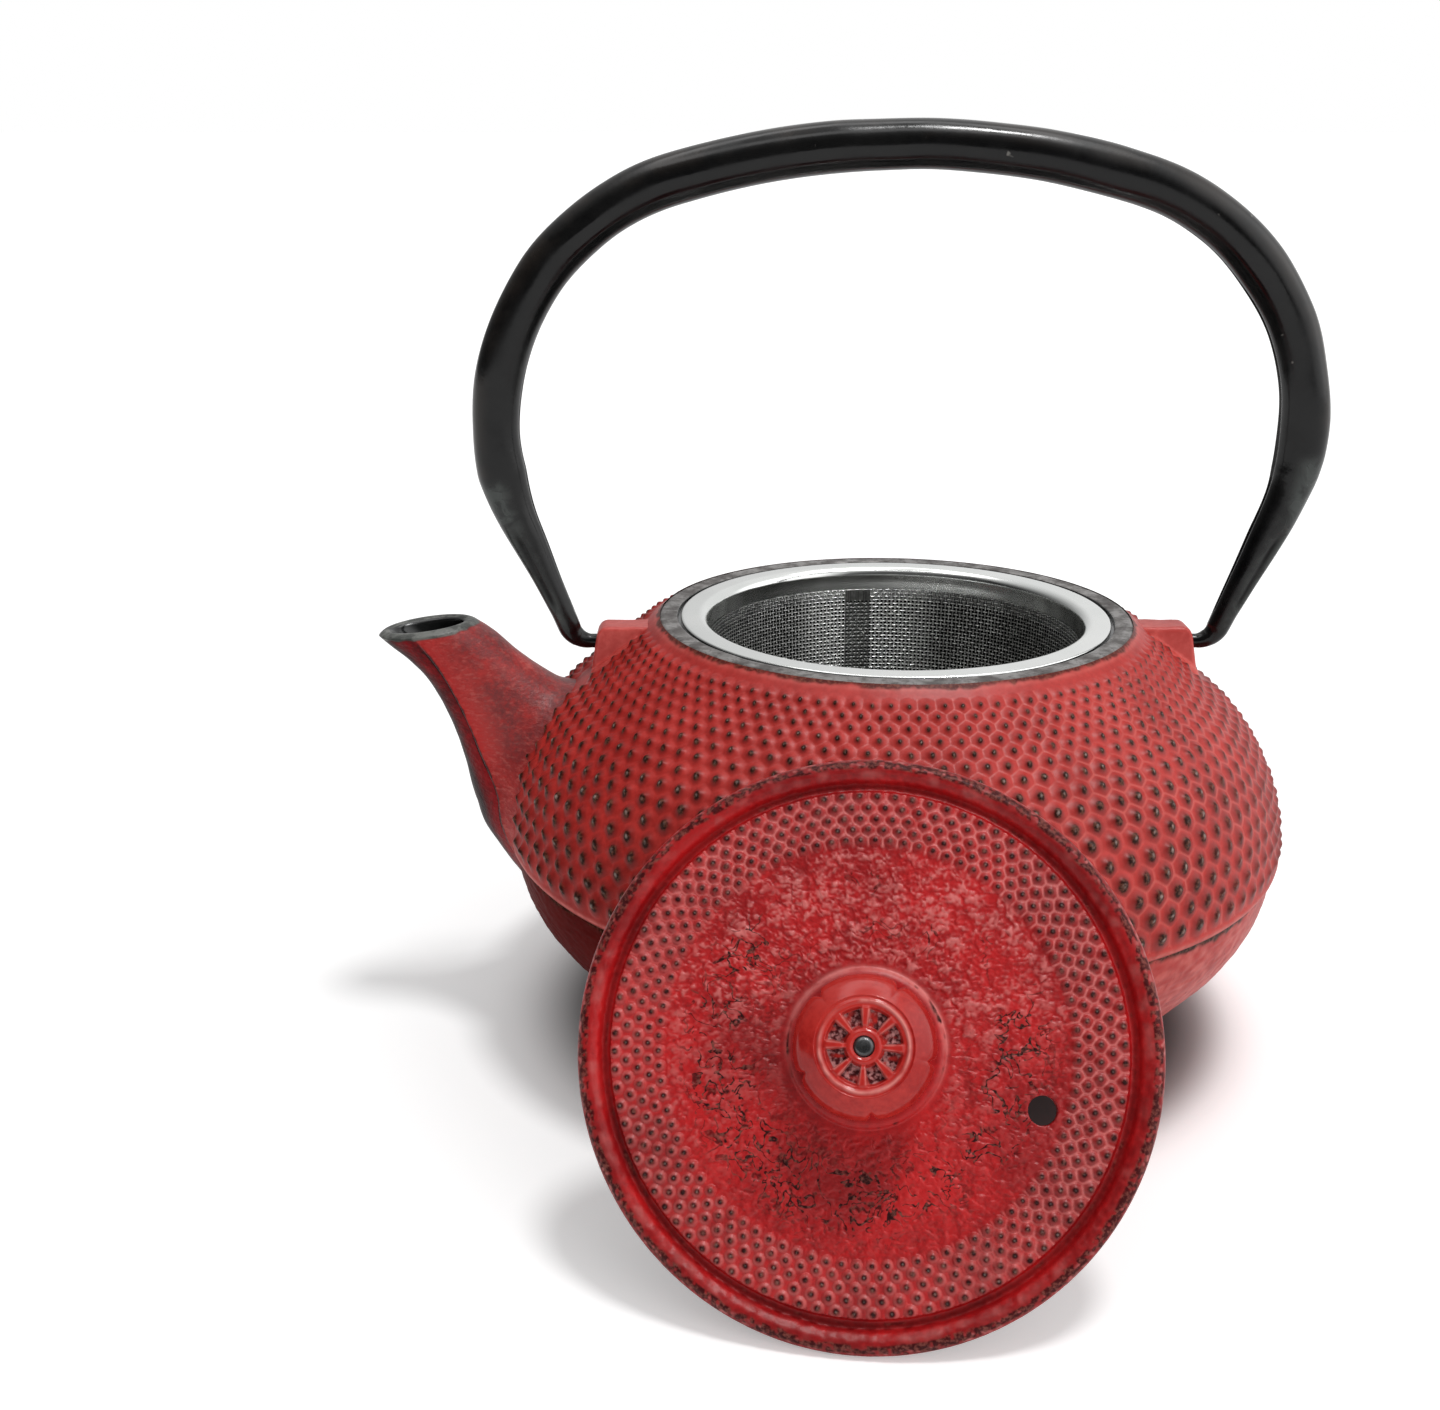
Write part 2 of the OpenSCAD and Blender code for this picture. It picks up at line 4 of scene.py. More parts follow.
import bmesh
import bpy
import numpy as np
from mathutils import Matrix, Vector


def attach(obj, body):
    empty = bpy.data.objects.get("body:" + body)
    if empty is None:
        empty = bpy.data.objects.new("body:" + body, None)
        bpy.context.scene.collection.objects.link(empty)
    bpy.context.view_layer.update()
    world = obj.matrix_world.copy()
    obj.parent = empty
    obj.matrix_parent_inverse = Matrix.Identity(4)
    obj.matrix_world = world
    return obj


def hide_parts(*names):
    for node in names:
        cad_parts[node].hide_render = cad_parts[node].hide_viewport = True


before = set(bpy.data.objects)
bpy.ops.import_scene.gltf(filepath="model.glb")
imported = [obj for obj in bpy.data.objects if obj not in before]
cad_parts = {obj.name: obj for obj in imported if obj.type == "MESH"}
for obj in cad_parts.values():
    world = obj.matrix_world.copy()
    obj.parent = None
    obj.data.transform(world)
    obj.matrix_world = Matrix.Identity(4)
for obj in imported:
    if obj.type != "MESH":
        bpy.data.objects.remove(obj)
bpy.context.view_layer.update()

MM = 0.001
TAU = 2 * math.pi
RAD = math.pi / 180
SIDEWAYS = np.array([0, 1.0, 0])
UP = np.array([0, 0, 1.0])

# The body that a piece rides on and its finish slot
POT = ("pot", "red_iron")
LID = ("lid", "red_iron")
RIVET = ("lid", "rivet_steel")
BAIL = ("bail", "dark_tube")
INFUSER = ("infuser", "infuser_steel")


# ---------------------------------------------------------------- camera

def add_camera():
    data = bpy.data.cameras.new("camera")
    data.lens = 45.13
    data.sensor_width = 36
    data.clip_start = 0.01
    data.clip_end = 20
    camera = bpy.data.objects.new("camera", data)
    camera.location = (-30.84 * MM, -308.81 * MM, 160.69 * MM)
    camera.rotation_euler = (71.673 * RAD, 0, 0)
    bpy.context.scene.collection.objects.link(camera)
    bpy.context.scene.camera = camera


# ---------------------------------------------------------------- shape tools, all in mm

def cast_noise(points, size, seed):
    """Smooth noise from -1 to 1 at points, with lumps of about the given size."""
    n = 32
    table = np.random.default_rng(seed).uniform(-1, 1, (n, n, n))
    p = points / size
    low = np.floor(p).astype(int)
    f = p - low
    f = f * f * (3 - 2 * f)
    total = 0
    for corner in np.ndindex(2, 2, 2):
        weight = np.prod(np.where(corner, f, 1 - f), axis=-1)
        i, j, k = np.moveaxis((low + corner) % n, -1, 0)
        total = total + weight * table[i, j, k]
    return total


def step(low, high, x):
    """0 below low, 1 above high, smooth between."""
    t = np.clip((x - low) / (high - low), 0, 1)
    return t * t * (3 - 2 * t)


def band(start, full, fade, end, x):
    """1 from full to fade, 0 before start and after end."""
    return step(start, full, x) * (1 - step(fade, end, x))


def hump(x, middle, width):
    """1 at the middle, falling off smoothly on both sides."""
    return np.exp(-((x - middle) / width) ** 2)


def circle(cols):
    return np.arange(cols) * TAU / cols


def polar(radius, turn, height):
    """Points at a radius and a turn round Z."""
    return np.stack(np.broadcast_arrays(radius * np.cos(turn), radius * np.sin(turn), height), -1)


def turned(profile, cols):
    """Rings of a profile of (radius, height) turned round Z."""
    p = np.asarray(profile, float)
    return polar(p[:, :1], circle(cols), p[:, 1:])


def ovals(middle, along, height, width, turn):
    """Rings on ovals that stand across Y; height (along) and width (sideways) are half sizes."""
    return (middle[:, None] + along[:, None] * (height * np.cos(turn))[..., None]
            + SIDEWAYS * (width * np.sin(turn))[..., None])


def arc(centre_r, centre_z, radius, from_deg, to_deg, n):
    a = np.linspace(from_deg, to_deg, n) * RAD
    return np.stack([centre_r + radius * np.cos(a), centre_z + radius * np.sin(a)], -1)


def rounded(points, radius, steps=5):
    """A polyline with its inner corners rounded; radius is one value or one for each inner corner."""
    points = [np.array(p, float) for p in points]
    radii = [radius] * (len(points) - 2) if np.isscalar(radius) else radius
    out = [points[0]]
    for before, corner, after, r in zip(points, points[1:], points[2:], radii):
        back, ahead = before - corner, after - corner
        back_l, ahead_l = np.linalg.norm(back), np.linalg.norm(ahead)
        reach = min(r, 0.49 * back_l, 0.49 * ahead_l)
        start = corner + back / back_l * reach
        end = corner + ahead / ahead_l * reach
        for t in np.arange(steps + 1) / steps:
            out.append((1 - t) ** 2 * start + 2 * t * (1 - t) * corner + t * t * end)
    out.append(points[-1])
    return np.array(out)


def dense(profile, spacing):
    """The same polyline with points no further apart than spacing."""
    out = [np.array(profile[0], float)]
    for a, b in zip(profile, profile[1:]):
        a, b = np.array(a, float), np.array(b, float)
        n = max(1, math.ceil(np.linalg.norm(b - a) / spacing))
        out += [a + (b - a) * k / n for k in range(1, n + 1)]
    return np.array(out)


def run_of(line):
    """The distance from the start of a line to each of its points."""
    return np.concatenate([[0], np.cumsum(np.hypot(*np.diff(line, axis=0).T))])


def padded(values, rows, cols, rest=0.0):
    """A mask over rows x cols rings whose first rings have the values and the others the rest."""
    out = np.full((rows, cols), rest)
    out[:len(values)] = values
    return out


def grid_faces(rows, cols, wrap, flip):
    r = np.arange(rows - 1)[:, None]
    c = np.arange(cols if wrap else cols - 1)[None, :]
    n = (c + 1) % cols
    f = np.stack([r * cols + c, r * cols + n, (r + 1) * cols + n, (r + 1) * cols + c], -1).reshape(-1, 4)
    return f[:, ::-1] if flip else f


def skin(name, rings, materials, home, node=None, masks=None, zones=None, wrap=True, flip=False,
         caps=(False, False)):
    """A smooth mesh over rings of points, at home on a body, in the place of a node of the solids.

    masks are point fields for the materials; zones gives each ring its place in materials; caps
    says whether the first and the last ring are closed.
    """
    rows, cols = rings.shape[:2]
    verts = rings.reshape(-1, 3)
    faces = grid_faces(rows, cols, wrap, flip)
    loops = [faces.reshape(-1)]
    sizes = [np.full(len(faces), 4)]
    for end, wanted in zip((0, rows - 1), caps):
        if wanted:
            ring = end * cols + np.arange(cols)
            loops.append(ring[::-1] if (end == 0) != flip else ring)
            sizes.append(np.array([cols]))
    loops, sizes = np.concatenate(loops), np.concatenate(sizes)
    mesh = bpy.data.meshes.new(name)
    mesh.vertices.add(len(verts))
    mesh.vertices.foreach_set("co", (verts * MM).astype(np.float32).reshape(-1))
    mesh.loops.add(len(loops))
    mesh.loops.foreach_set("vertex_index", loops.astype(np.int32))
    mesh.polygons.add(len(sizes))
    mesh.polygons.foreach_set("loop_start", (np.cumsum(sizes) - sizes).astype(np.int32))
    mesh.polygons.foreach_set("use_smooth", np.ones(len(sizes), bool))
    mesh.update(calc_edges=True)
    mesh.validate()
    for key, values in (masks or {}).items():
        field = np.broadcast_to(values, (rows, cols)).astype(np.float32)
        mesh.attributes.new(key, "FLOAT", "POINT").data.foreach_set("value", field.reshape(-1))
    for material in materials:
        mesh.materials.append(material)
    if zones is not None:
        index = np.zeros(len(mesh.polygons), np.int32)
        index[:len(faces)] = np.repeat(zones[:rows - 1], cols if wrap else cols - 1)
        mesh.polygons.foreach_set("material_index", index)
    piece = bpy.data.objects.new(name, mesh)
    bpy.context.scene.collection.objects.link(piece)
    body, slot = home
    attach(piece, body)
    if node:
        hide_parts(node)
    return piece


# ---------------------------------------------------------------- node tools

def srgb(*rgb):
    """A colour written as 0 to 255, as the shader wants it."""
    shares = [c / 255 for c in rgb]
    return tuple(c / 12.92 if c <= 0.04045 else ((c + 0.055) / 1.055) ** 2.4 for c in shares) + (1,)


class Value:
    """What comes out of a node; + - * and abs() put the next node behind it."""

    def __init__(self, tree, socket):
        self.tree = tree
        self.socket = socket

    def __add__(self, other):
        return self.tree.math("ADD", self, other)

    def __sub__(self, other):
        return self.tree.math("SUBTRACT", self, other)

    def __rsub__(self, other):
        return self.tree.math("SUBTRACT", other, self)

    def __mul__(self, other):
        return self.tree.math("MULTIPLY", self, other)

    def __abs__(self):
        return self.tree.math("ABSOLUTE", self)


class Tree:
    """Short ways to add nodes to a material, a group or the world."""

    def __init__(self, tree):
        self.tree = tree

    def link(self, value, socket):
        self.tree.links.new(value.socket, socket)

    def add(self, kind, output, inputs=None, **settings):
        node = self.tree.nodes.new(kind)
        for key, value in settings.items():
            setattr(node, key, value)
        for key, value in (inputs or {}).items():
            if isinstance(value, Value):
                self.link(value, node.inputs[key])
            else:
                node.inputs[key].default_value = value
        return Value(self, node.outputs[output])

    def math(self, operation, a, b=0.0):
        return self.add("ShaderNodeMath", 0, {0: a, 1: b}, operation=operation)

    def larger(self, a, b):
        return self.math("MAXIMUM", a, b)

    def noise(self, vector, scale, detail=2.0, rough=0.5, distortion=0.0):
        return self.add("ShaderNodeTexNoise", "Fac", {"Vector": vector, "Scale": scale, "Detail": detail,
                                                      "Roughness": rough, "Distortion": distortion})

    def ramp(self, value, low, high, to_low=0.0, to_high=1.0):
        return self.add("ShaderNodeMapRange", 0, {"Value": value, "From Min": low, "From Max": high,
                                                  "To Min": to_low, "To Max": to_high},
                        interpolation_type="SMOOTHSTEP")

    def mix(self, factor, a, b):
        return self.add("ShaderNodeMix", 2, {0: factor, 6: a, 7: b}, data_type="RGBA")

    def field(self, name):
        return self.add("ShaderNodeAttribute", "Fac", attribute_name=name, attribute_type="GEOMETRY")

    def where(self, kind="Object"):
        return self.add("ShaderNodeTexCoord", kind)

    def stretched(self, vector, z):
        return self.add("ShaderNodeMapping", 0, {"Vector": vector, "Scale": (1.0, 1.0, z)})

    def toward(self, way, direction):
        return self.add("ShaderNodeVectorMath", "Value", {0: way, 1: direction}, operation="DOT_PRODUCT")

    def group(self, tree, **inputs):
        return self.add("ShaderNodeGroup", 0, inputs, node_tree=tree)


def new_group(name, output, kind, **inputs):
    """A node group; each input is a number, or "NodeSocketColor" or "NodeSocketVector"."""
    tree = bpy.data.node_groups.new(name, "ShaderNodeTree")
    for key, value in inputs.items():
        given = not isinstance(value, str)
        socket_type = "NodeSocketFloat" if given else value
        socket = tree.interface.new_socket(key, in_out="INPUT", socket_type=socket_type)
        if given:
            socket.default_value = value
    tree.interface.new_socket(output, in_out="OUTPUT", socket_type=kind)
    t = Tree(tree)
    ins = tree.nodes.new("NodeGroupInput").outputs
    outs = tree.nodes.new("NodeGroupOutput").inputs
    return tree, t, [Value(t, ins[key]) for key in inputs], outs[output]


def mottle_group():
    """A colour that drifts between a lighter and a deeper tone."""
    tree, t, (light, deep, scale, at), out = new_group(
        "mottled colour", "Color", "NodeSocketColor", Light="NodeSocketColor", Deep="NodeSocketColor",
        Scale=60.0, Vector="NodeSocketVector")
    broad = t.noise(at, scale, 3.0, 0.55)
    fine = t.noise(at, scale * 14.0, 2.0, 0.6)
    t.link(t.mix(t.ramp(broad * 0.65 + fine * 0.35, 0.36, 0.64), deep, light), out)
    return tree


def crack_group():
    """Short black cracks and pits that gather in patches: 1 on a mark."""
    tree, t, (size, patch, amount, at), out = new_group(
        "cast cracks", "Mask", "NodeSocketFloat", Size=620.0, Patch=90.0, Amount=0.5,
        Vector="NodeSocketVector")
    crack = t.ramp(abs(t.noise(at, size, 2.0, 0.5, 0.8) - 0.5), 0.012, 0.032, 1.0, 0.0)
    where = t.noise(at, size * 1.7, 2.0, 0.6) * 0.6 + t.noise(at, patch, 2.0, 0.5) * 0.4
    there = where - t.ramp(amount, 0.0, 1.0, 0.66, 0.42)
    t.link(crack * t.ramp(there, 0.0, 0.03), out)
    return tree


def grain_group():
    """The height of a sand-cast surface under lacquer."""
    tree, t, (coarse, fine, at), out = new_group(
        "cast grain", "Height", "NodeSocketFloat", Coarse=350.0, Fine=1500.0, Vector="NodeSocketVector")
    t.link(t.noise(at, coarse, 3.0, 0.55) * 0.7 + t.noise(at, fine, 2.0, 0.5) * 0.3, out)
    return tree


MOTTLE, CRACKS, GRAIN = mottle_group(), crack_group(), grain_group()


def finish_of(name, **constants):
    """A new material, its tree, its object coordinates, and ways to feed and to bump its shader."""
    material = bpy.data.materials.new(name)
    material.use_nodes = True
    shader = material.node_tree.nodes["Principled BSDF"]
    for key, value in constants.items():
        shader.inputs[key.replace("_", " ")].default_value = value
    t = Tree(material.node_tree)

    def link(key, value):
        t.link(value, shader.inputs[key])

    def bump(height, strength, distance):
        link("Normal", t.add("ShaderNodeBump", "Normal", {"Height": height, "Strength": strength,
                                                          "Distance": distance}))
    return material, t, t.where(), link, bump


# ---------------------------------------------------------------- finishes

DEEP_RED = srgb(160, 28, 22)
CRACK_AND_SHADE_BLACK = srgb(44, 20, 14)
RUBBED_IRON = srgb(104, 64, 50)
GRAIN_DEPTH = 0.0004      # metres


def studded_lacquer(name, light, deep, crest, tip_low, tip_high, speckle=0.0, relief=0.12, shade=0.55,
                    dark_wear_and_shade=CRACK_AND_SHADE_BLACK, worn_light=RUBBED_IRON, rough=0.42, crack_size=620.0, painted_glint_level=0.7):
    """Red lacquer over studs: dark rubbed tips with a painted glint and a ring of painted shade round them,
    paler creases. The pale field lays paler paint and painted highlights, the smoky field painted
    shade, the bare field unpainted iron and painted shade. stud and crease are distances in pitches.
    """
    material, t, at, link, bump = finish_of(name)
    stud = t.field("stud") + (t.noise(at, 1400.0) - 0.5) * 0.10
    tip = t.ramp(stud, tip_low, tip_high, 1.0, 0.0)
    # a ring of painted shade round each tip, in deep red
    shade_halo = t.ramp(stud, tip_high * 0.8, tip_high * 1.8, 1.0, 0.0) * shade
    crease = t.ramp(t.field("crease"), 0.02, 0.17, 1.0, 0.0)
    crease = crease * t.ramp(t.noise(at, 120.0), 0.35, 0.6, 0.1, 0.55)
    colour = t.mix(crease, t.group(MOTTLE, Light=light, Deep=deep, Scale=70.0, Vector=at), crest)
    colour = t.mix(shade_halo, colour, srgb(96, 18, 16))
    # the pale field: paler paint and painted highlights, in the crest colour
    colour = t.mix(t.field("pale_and_sheen") * t.ramp(t.noise(at, 500.0), 0.3, 0.6, 0.4, 1.0), colour, crest)
    # the smoky field darkens to a deep red: painted shade
    smoke_and_shade = t.field("smoke_and_shade")
    colour = t.mix(smoke_and_shade, colour, srgb(54, 8, 8))
    # the bare field: unpainted iron, and painted shade under ledges and in grooves
    dark = t.larger(tip * (1.0 - t.field("fresh")), t.field("bare"))
    if speckle:
        cracks = t.group(CRACKS, Size=crack_size, Patch=110.0, Amount=speckle, Vector=at)
        dark = t.larger(dark, cracks * t.field("rough"))
    # rubbed iron for the tips and cracks; the same colours paint the shade that the bare field lays
    worn = t.mix(t.ramp(t.noise(at, 1700.0), 0.4, 0.7), dark_wear_and_shade, worn_light)
    # a painted glint in the middle of each tip
    painted_glint = t.ramp(stud, 0.02, 0.10, painted_glint_level, 0.0) * t.ramp(t.noise(at, 800.0), 0.38, 0.62, 0.1, 1.0)
    link("Base Color", t.mix(dark, colour, t.mix(painted_glint, worn, srgb(172, 154, 146))))
    link("Roughness", t.ramp(t.larger(dark, smoke_and_shade), 0.0, 1.0, rough, 0.40))
    dull = t.larger(smoke_and_shade, t.field("dry"))
    link("Specular IOR Level", t.ramp(dark, 0.0, 1.0, 0.38, 0.14) * t.ramp(dull, 0.0, 0.9, 1.0, 0.0))
    bump(t.group(GRAIN, Coarse=420.0, Fine=1700.0, Vector=at), relief, GRAIN_DEPTH)
    return material


def plain_lacquer(name, light, deep, speckle=0.0):
    material, t, at, link, bump = finish_of(name, Roughness=0.42, Specular_IOR_Level=0.45)
    colour = t.group(MOTTLE, Light=light, Deep=deep, Scale=60.0, Vector=at)
    if speckle:
        cracks = t.group(CRACKS, Size=800.0, Patch=120.0, Amount=speckle, Vector=at)
        colour = t.mix(cracks, colour, CRACK_AND_SHADE_BLACK)
    link("Base Color", colour)
    bump(t.group(GRAIN, Coarse=380.0, Fine=1500.0, Vector=at), 0.15, GRAIN_DEPTH)
    return material


def spout_lacquer():
    """Satin red under a smoke patina, a ragged dark line of painted shadow under the parting ridge, crimson
    to black below.
    """
    material, t, at, link, bump = finish_of("spout_lacquer")
    side = t.field("above_ridge")     # millimetres above the parting ridge, negative below it
    grain = t.noise(t.stretched(at, 2.2), 750.0, 3.0, 0.6)
    colour = t.group(MOTTLE, Light=srgb(182, 48, 44), Deep=srgb(150, 26, 24), Scale=90.0, Vector=at)
    colour = t.mix(t.ramp(grain, 0.50, 0.68, 0.0, 0.55), colour, srgb(196, 92, 84))
    strip = t.ramp(side, 0.5, 3.4, 1.0, 0.0) * t.field("upper")
    colour = t.mix(strip * 0.55, colour, srgb(184, 16, 14))
    broad = t.ramp(t.noise(at, 95.0, 3.0, 0.55), 0.32, 0.60)
    fine = t.ramp(t.noise(at, 900.0, 4.0, 0.75), 0.30, 0.60)
    smoke = broad * (fine * 0.4 + 0.25) * (t.ramp(side, 1.0, 6.5) * t.field("smoke_and_shade"))
    colour = t.mix(smoke, colour, srgb(72, 50, 52))
    crimson = t.group(MOTTLE, Light=srgb(150, 12, 20), Deep=srgb(84, 8, 14), Scale=70.0, Vector=at)
    below = t.mix(t.ramp(side, -6.5, -1.5), srgb(40, 8, 12), crimson)
    colour = t.mix(t.ramp(side, -0.5, -0.1, 1.0, 0.0), colour, below)
    # a ragged dark line just under the parting ridge: painted shadow of the ledge above it
    wander = (t.noise(at, 330.0, 3.0, 0.6) - 0.5) * 1.2
    line = t.ramp(abs(side + 0.35 + wander), 0.42, 0.74, 1.0, 0.0)
    bare = t.larger(line * t.field("ridge") * 0.9, t.field("bare"))
    lip = t.mix(t.ramp(t.noise(at, 420.0, 3.0, 0.65), 0.38, 0.62), srgb(62, 64, 61), srgb(108, 109, 105))
    link("Base Color", t.mix(bare, colour, t.mix(t.field("bare"), srgb(22, 10, 10), lip)))
    link("Roughness", t.ramp(bare, 0.0, 1.0, 0.42, 0.38))
    link("Specular IOR Level", t.ramp(side, -1.0, 1.0, 0.10, 0.36))
    bump(t.group(GRAIN, Coarse=650.0, Fine=1500.0, Vector=at) + grain, 0.42, GRAIN_DEPTH)
    return material


def bare_iron(name, light, dark, red=0.0):
    """Ground iron with dark pits, and a trace of red lacquer where it borders on it."""
    material, t, at, link, bump = finish_of(name, Metallic=0.55, Specular_IOR_Level=0.4)
    tone = t.ramp(t.noise(at, 240.0, 5.0, 0.65), 0.36, 0.64)
    pits = t.ramp(t.noise(at, 900.0, 3.0, 0.7), 0.50, 0.66) * 0.6
    colour = t.mix(pits, t.mix(tone, dark, light), srgb(46, 36, 34))
    if red:
        stain = t.field("stain") + (t.noise(at, 350.0, 3.0) - 0.5) * 0.9
        colour = t.mix(t.ramp(stain, 0.45, 0.75) * red, colour, DEEP_RED)
    link("Base Color", colour)
    link("Roughness", t.ramp(tone, 0.0, 1.0, 0.55, 0.4))
    bump(t.group(GRAIN, Coarse=500.0, Fine=1600.0, Vector=at), 0.12, 0.0003)
    return material


def black_enamel():
    material, t, at, link, bump = finish_of("black_enamel", Specular_IOR_Level=0.6)
    link("Base Color", t.group(MOTTLE, Light=srgb(24, 25, 25), Deep=srgb(8, 9, 9), Scale=90.0, Vector=at))
    link("Roughness", t.ramp(t.noise(at, 200.0), 0.3, 0.7, 0.10, 0.22))
    bump(t.group(GRAIN, Coarse=160.0, Fine=600.0, Vector=at), 0.10, 0.0006)
    return material


def bail_finish():
    """Worn black over rolled steel: brown bloom on top, greyer where the tube is beaten flat."""
    material, t, at, link, bump = finish_of("worn_black", Specular_IOR_Level=0.38)
    colour = t.group(MOTTLE, Light=srgb(15, 15, 15), Deep=srgb(5, 5, 6), Scale=50.0, Vector=at)
    bloom = t.ramp(t.noise(at, 90.0, 4.0, 0.6), 0.42, 0.62) * t.field("outer_side")
    colour = t.mix(bloom * 0.5, colour, srgb(54, 47, 42))
    beaten = t.field("beaten") * t.ramp(t.noise(at, 240.0, 4.0, 0.6, 0.8), 0.38, 0.6, 0.25, 1.0)
    colour = t.mix(beaten * 0.75, colour, srgb(86, 90, 88))
    nick = t.ramp(t.noise(at, 420.0, 2.0, 0.5, 0.3), 0.74, 0.78) * 0.8
    colour = t.mix(nick, colour, srgb(120, 118, 114))
    # the pressed groove and the open seam go near black: painted shade
    link("Base Color", t.mix(t.field("hollow_shade"), colour, srgb(6, 6, 6)))
    link("Roughness", t.ramp(t.noise(at, 130.0, 3.0), 0.3, 0.7, 0.12, 0.26) + beaten * 0.14)
    link("Metallic", t.larger(beaten, nick) * 0.5)
    bump(t.group(GRAIN, Coarse=120.0, Fine=900.0, Vector=at), 0.10, 0.0005)
    return material


def polished_steel():
    material, t, at, link, bump = finish_of("polished_steel", Metallic=1.0)
    lathe_marks = t.stretched(at, 30.0)
    link("Base Color", t.mix(t.ramp(t.noise(at, 60.0), 0.3, 0.7), srgb(226, 228, 226), srgb(236, 237, 235)))
    link("Roughness", t.ramp(t.noise(lathe_marks, 220.0, 2.0), 0.3, 0.7, 0.10, 0.20))
    bump(t.noise(lathe_marks, 300.0, 2.0), 0.04, 0.0002)
    return material


def dark_steel():
    material, t, at, link, bump = finish_of("dark_steel", Metallic=0.9)
    link("Base Color", t.mix(t.noise(at, 500.0), srgb(60, 60, 62), srgb(120, 120, 120)))
    link("Roughness", t.ramp(t.noise(at, 900.0), 0.3, 0.7, 0.22, 0.36))
    bump(t.noise(at, 1200.0), 0.08, 0.0002)
    return material


ROUND_WIRES, WIRE_ROWS = 270.0, 62.0


def woven_steel(name, gap, wire):
    """Plain-woven wire cloth. The wires run round and along the basket; between them it is open."""
    material, t, at, link, bump = finish_of(name, Metallic=0.7, Roughness=0.36)
    around = t.field("around")
    turns = around * ROUND_WIRES * math.pi
    levels = t.field("along") * WIRE_ROWS * math.pi
    upright = abs(t.math("SINE", turns))
    level = abs(t.math("SINE", levels))
    over = t.math("COSINE", turns) * t.math("COSINE", levels)
    upright_wire = t.ramp(upright, 0.25, 0.85, 1.0, 0.0) * t.ramp(over, -1.0, 1.0, 0.55, 1.0)
    level_wire = t.ramp(level, 0.25, 0.85, 1.0, 0.0) * t.ramp(over, -1.0, 1.0, 1.0, 0.55)
    height = t.larger(upright_wire, level_wire)
    tone = (t.ramp(t.noise(at, 1100.0, 2.0, 0.6), 0.35, 0.62, 0.4, 1.0)
            * t.ramp(t.noise(at, 34.0), 0.35, 0.6, 0.6, 1.0))
    # two bands where the cloth catches the light
    sheen = (t.ramp(abs(around - 0.238), 0.014, 0.055, 0.38, 0.0)
             + t.ramp(abs(around - 0.298), 0.010, 0.042, 0.50, 0.0))
    cloth = t.mix(sheen, gap, wire)
    link("Base Color", t.mix(t.ramp(height, 0.50, 0.85) * tone, cloth, wire))
    link("Alpha", t.ramp(height, 0.12, 0.26))
    bump(height, 0.9, 0.0002)
    return material


# ---------------------------------------------------------------- the pot's outline

POT_H, MOUTH_R, SEAT_R, SEAT_Z, THROAT_R = 75.5, 41.5, 38.3, 74.6, 34.8
THROAT_END = (39.4, 72.0)      # where the ground seat ends and the enamel begins
BELLY_R, BELLY_Z, LEDGE = 68.8, 37.0, 0.8
SHOULDER_R, SHOULDER_DEG = 33.5, 52.0
BOWL_R, BOWL_DEG = 24.0, 41.0
FOOT_R, FOOT_EDGE = 43.5, 0.8
WALL, FLOOR_T = 3.2, 4.0

SHOULDER_CENTRE = BELLY_R - SHOULDER_R
BOWL_CENTRE = BELLY_R - LEDGE - BOWL_R

upper_line = np.concatenate([[[MOUTH_R, POT_H]],
                             arc(SHOULDER_CENTRE, BELLY_Z, SHOULDER_R, SHOULDER_DEG, 0, 200)])
lower_line = np.concatenate([arc(BOWL_CENTRE, BELLY_Z, BOWL_R, 0, -BOWL_DEG, 80), [[FOOT_R, 0.0]]])
whole_line = np.concatenate([upper_line, lower_line])


def pot_r(z):
    """Radius of the pot's bare surface at a height."""
    return np.interp(z, whole_line[::-1, 1], whole_line[::-1, 0])


def along_line(line, spacing, reach=0.6):
    """Points, outward normals and distances along an outline."""
    d = run_of(line)
    s = np.linspace(0, d[-1], int(d[-1] / spacing) + 1)

    def point(at):
        return np.stack([np.interp(at, d, line[:, k]) for k in (0, 1)], -1)
    v = point(np.minimum(s + reach, d[-1])) - point(np.maximum(s - reach, 0))
    v /= np.linalg.norm(v, axis=1)[:, None]
    return point(s), np.stack([-v[:, 1], v[:, 0]], -1), s, d


# ---------------------------------------------------------------- studs

STUDS_ROUND = 100
STUD_ROW_Z = [72.8, 71.5, 70.2, 68.75, 67.3, 65.7, 64.0, 62.1, 60.0, 57.8, 55.4, 52.6, 49.75, 46.8,
              43.7, 40.5]
STUD_PHASE = 1.36 * RAD
BELLY_PITCH = 4.3      # the pitch of the studs at the belly
EAR_X, EAR_TOP, EAR_HALF_W, PIN_Z = 52.9, 73.7, 3.1, 70.5
HOOK_GAP, PIN_L = 0.9, 6.0
# Half the angle that the spout takes out of the studs, by height
SPOUT_GAP = ([37.0, 41.8, 46.1, 49.7, 55.7, 60.0, 63.0, 65.0], [17.5, 16.5, 14.5, 11.0, 6.2, 4.6, 3.2, 0.0])
FAR = 9.0              # pitches; further than any stud that counts


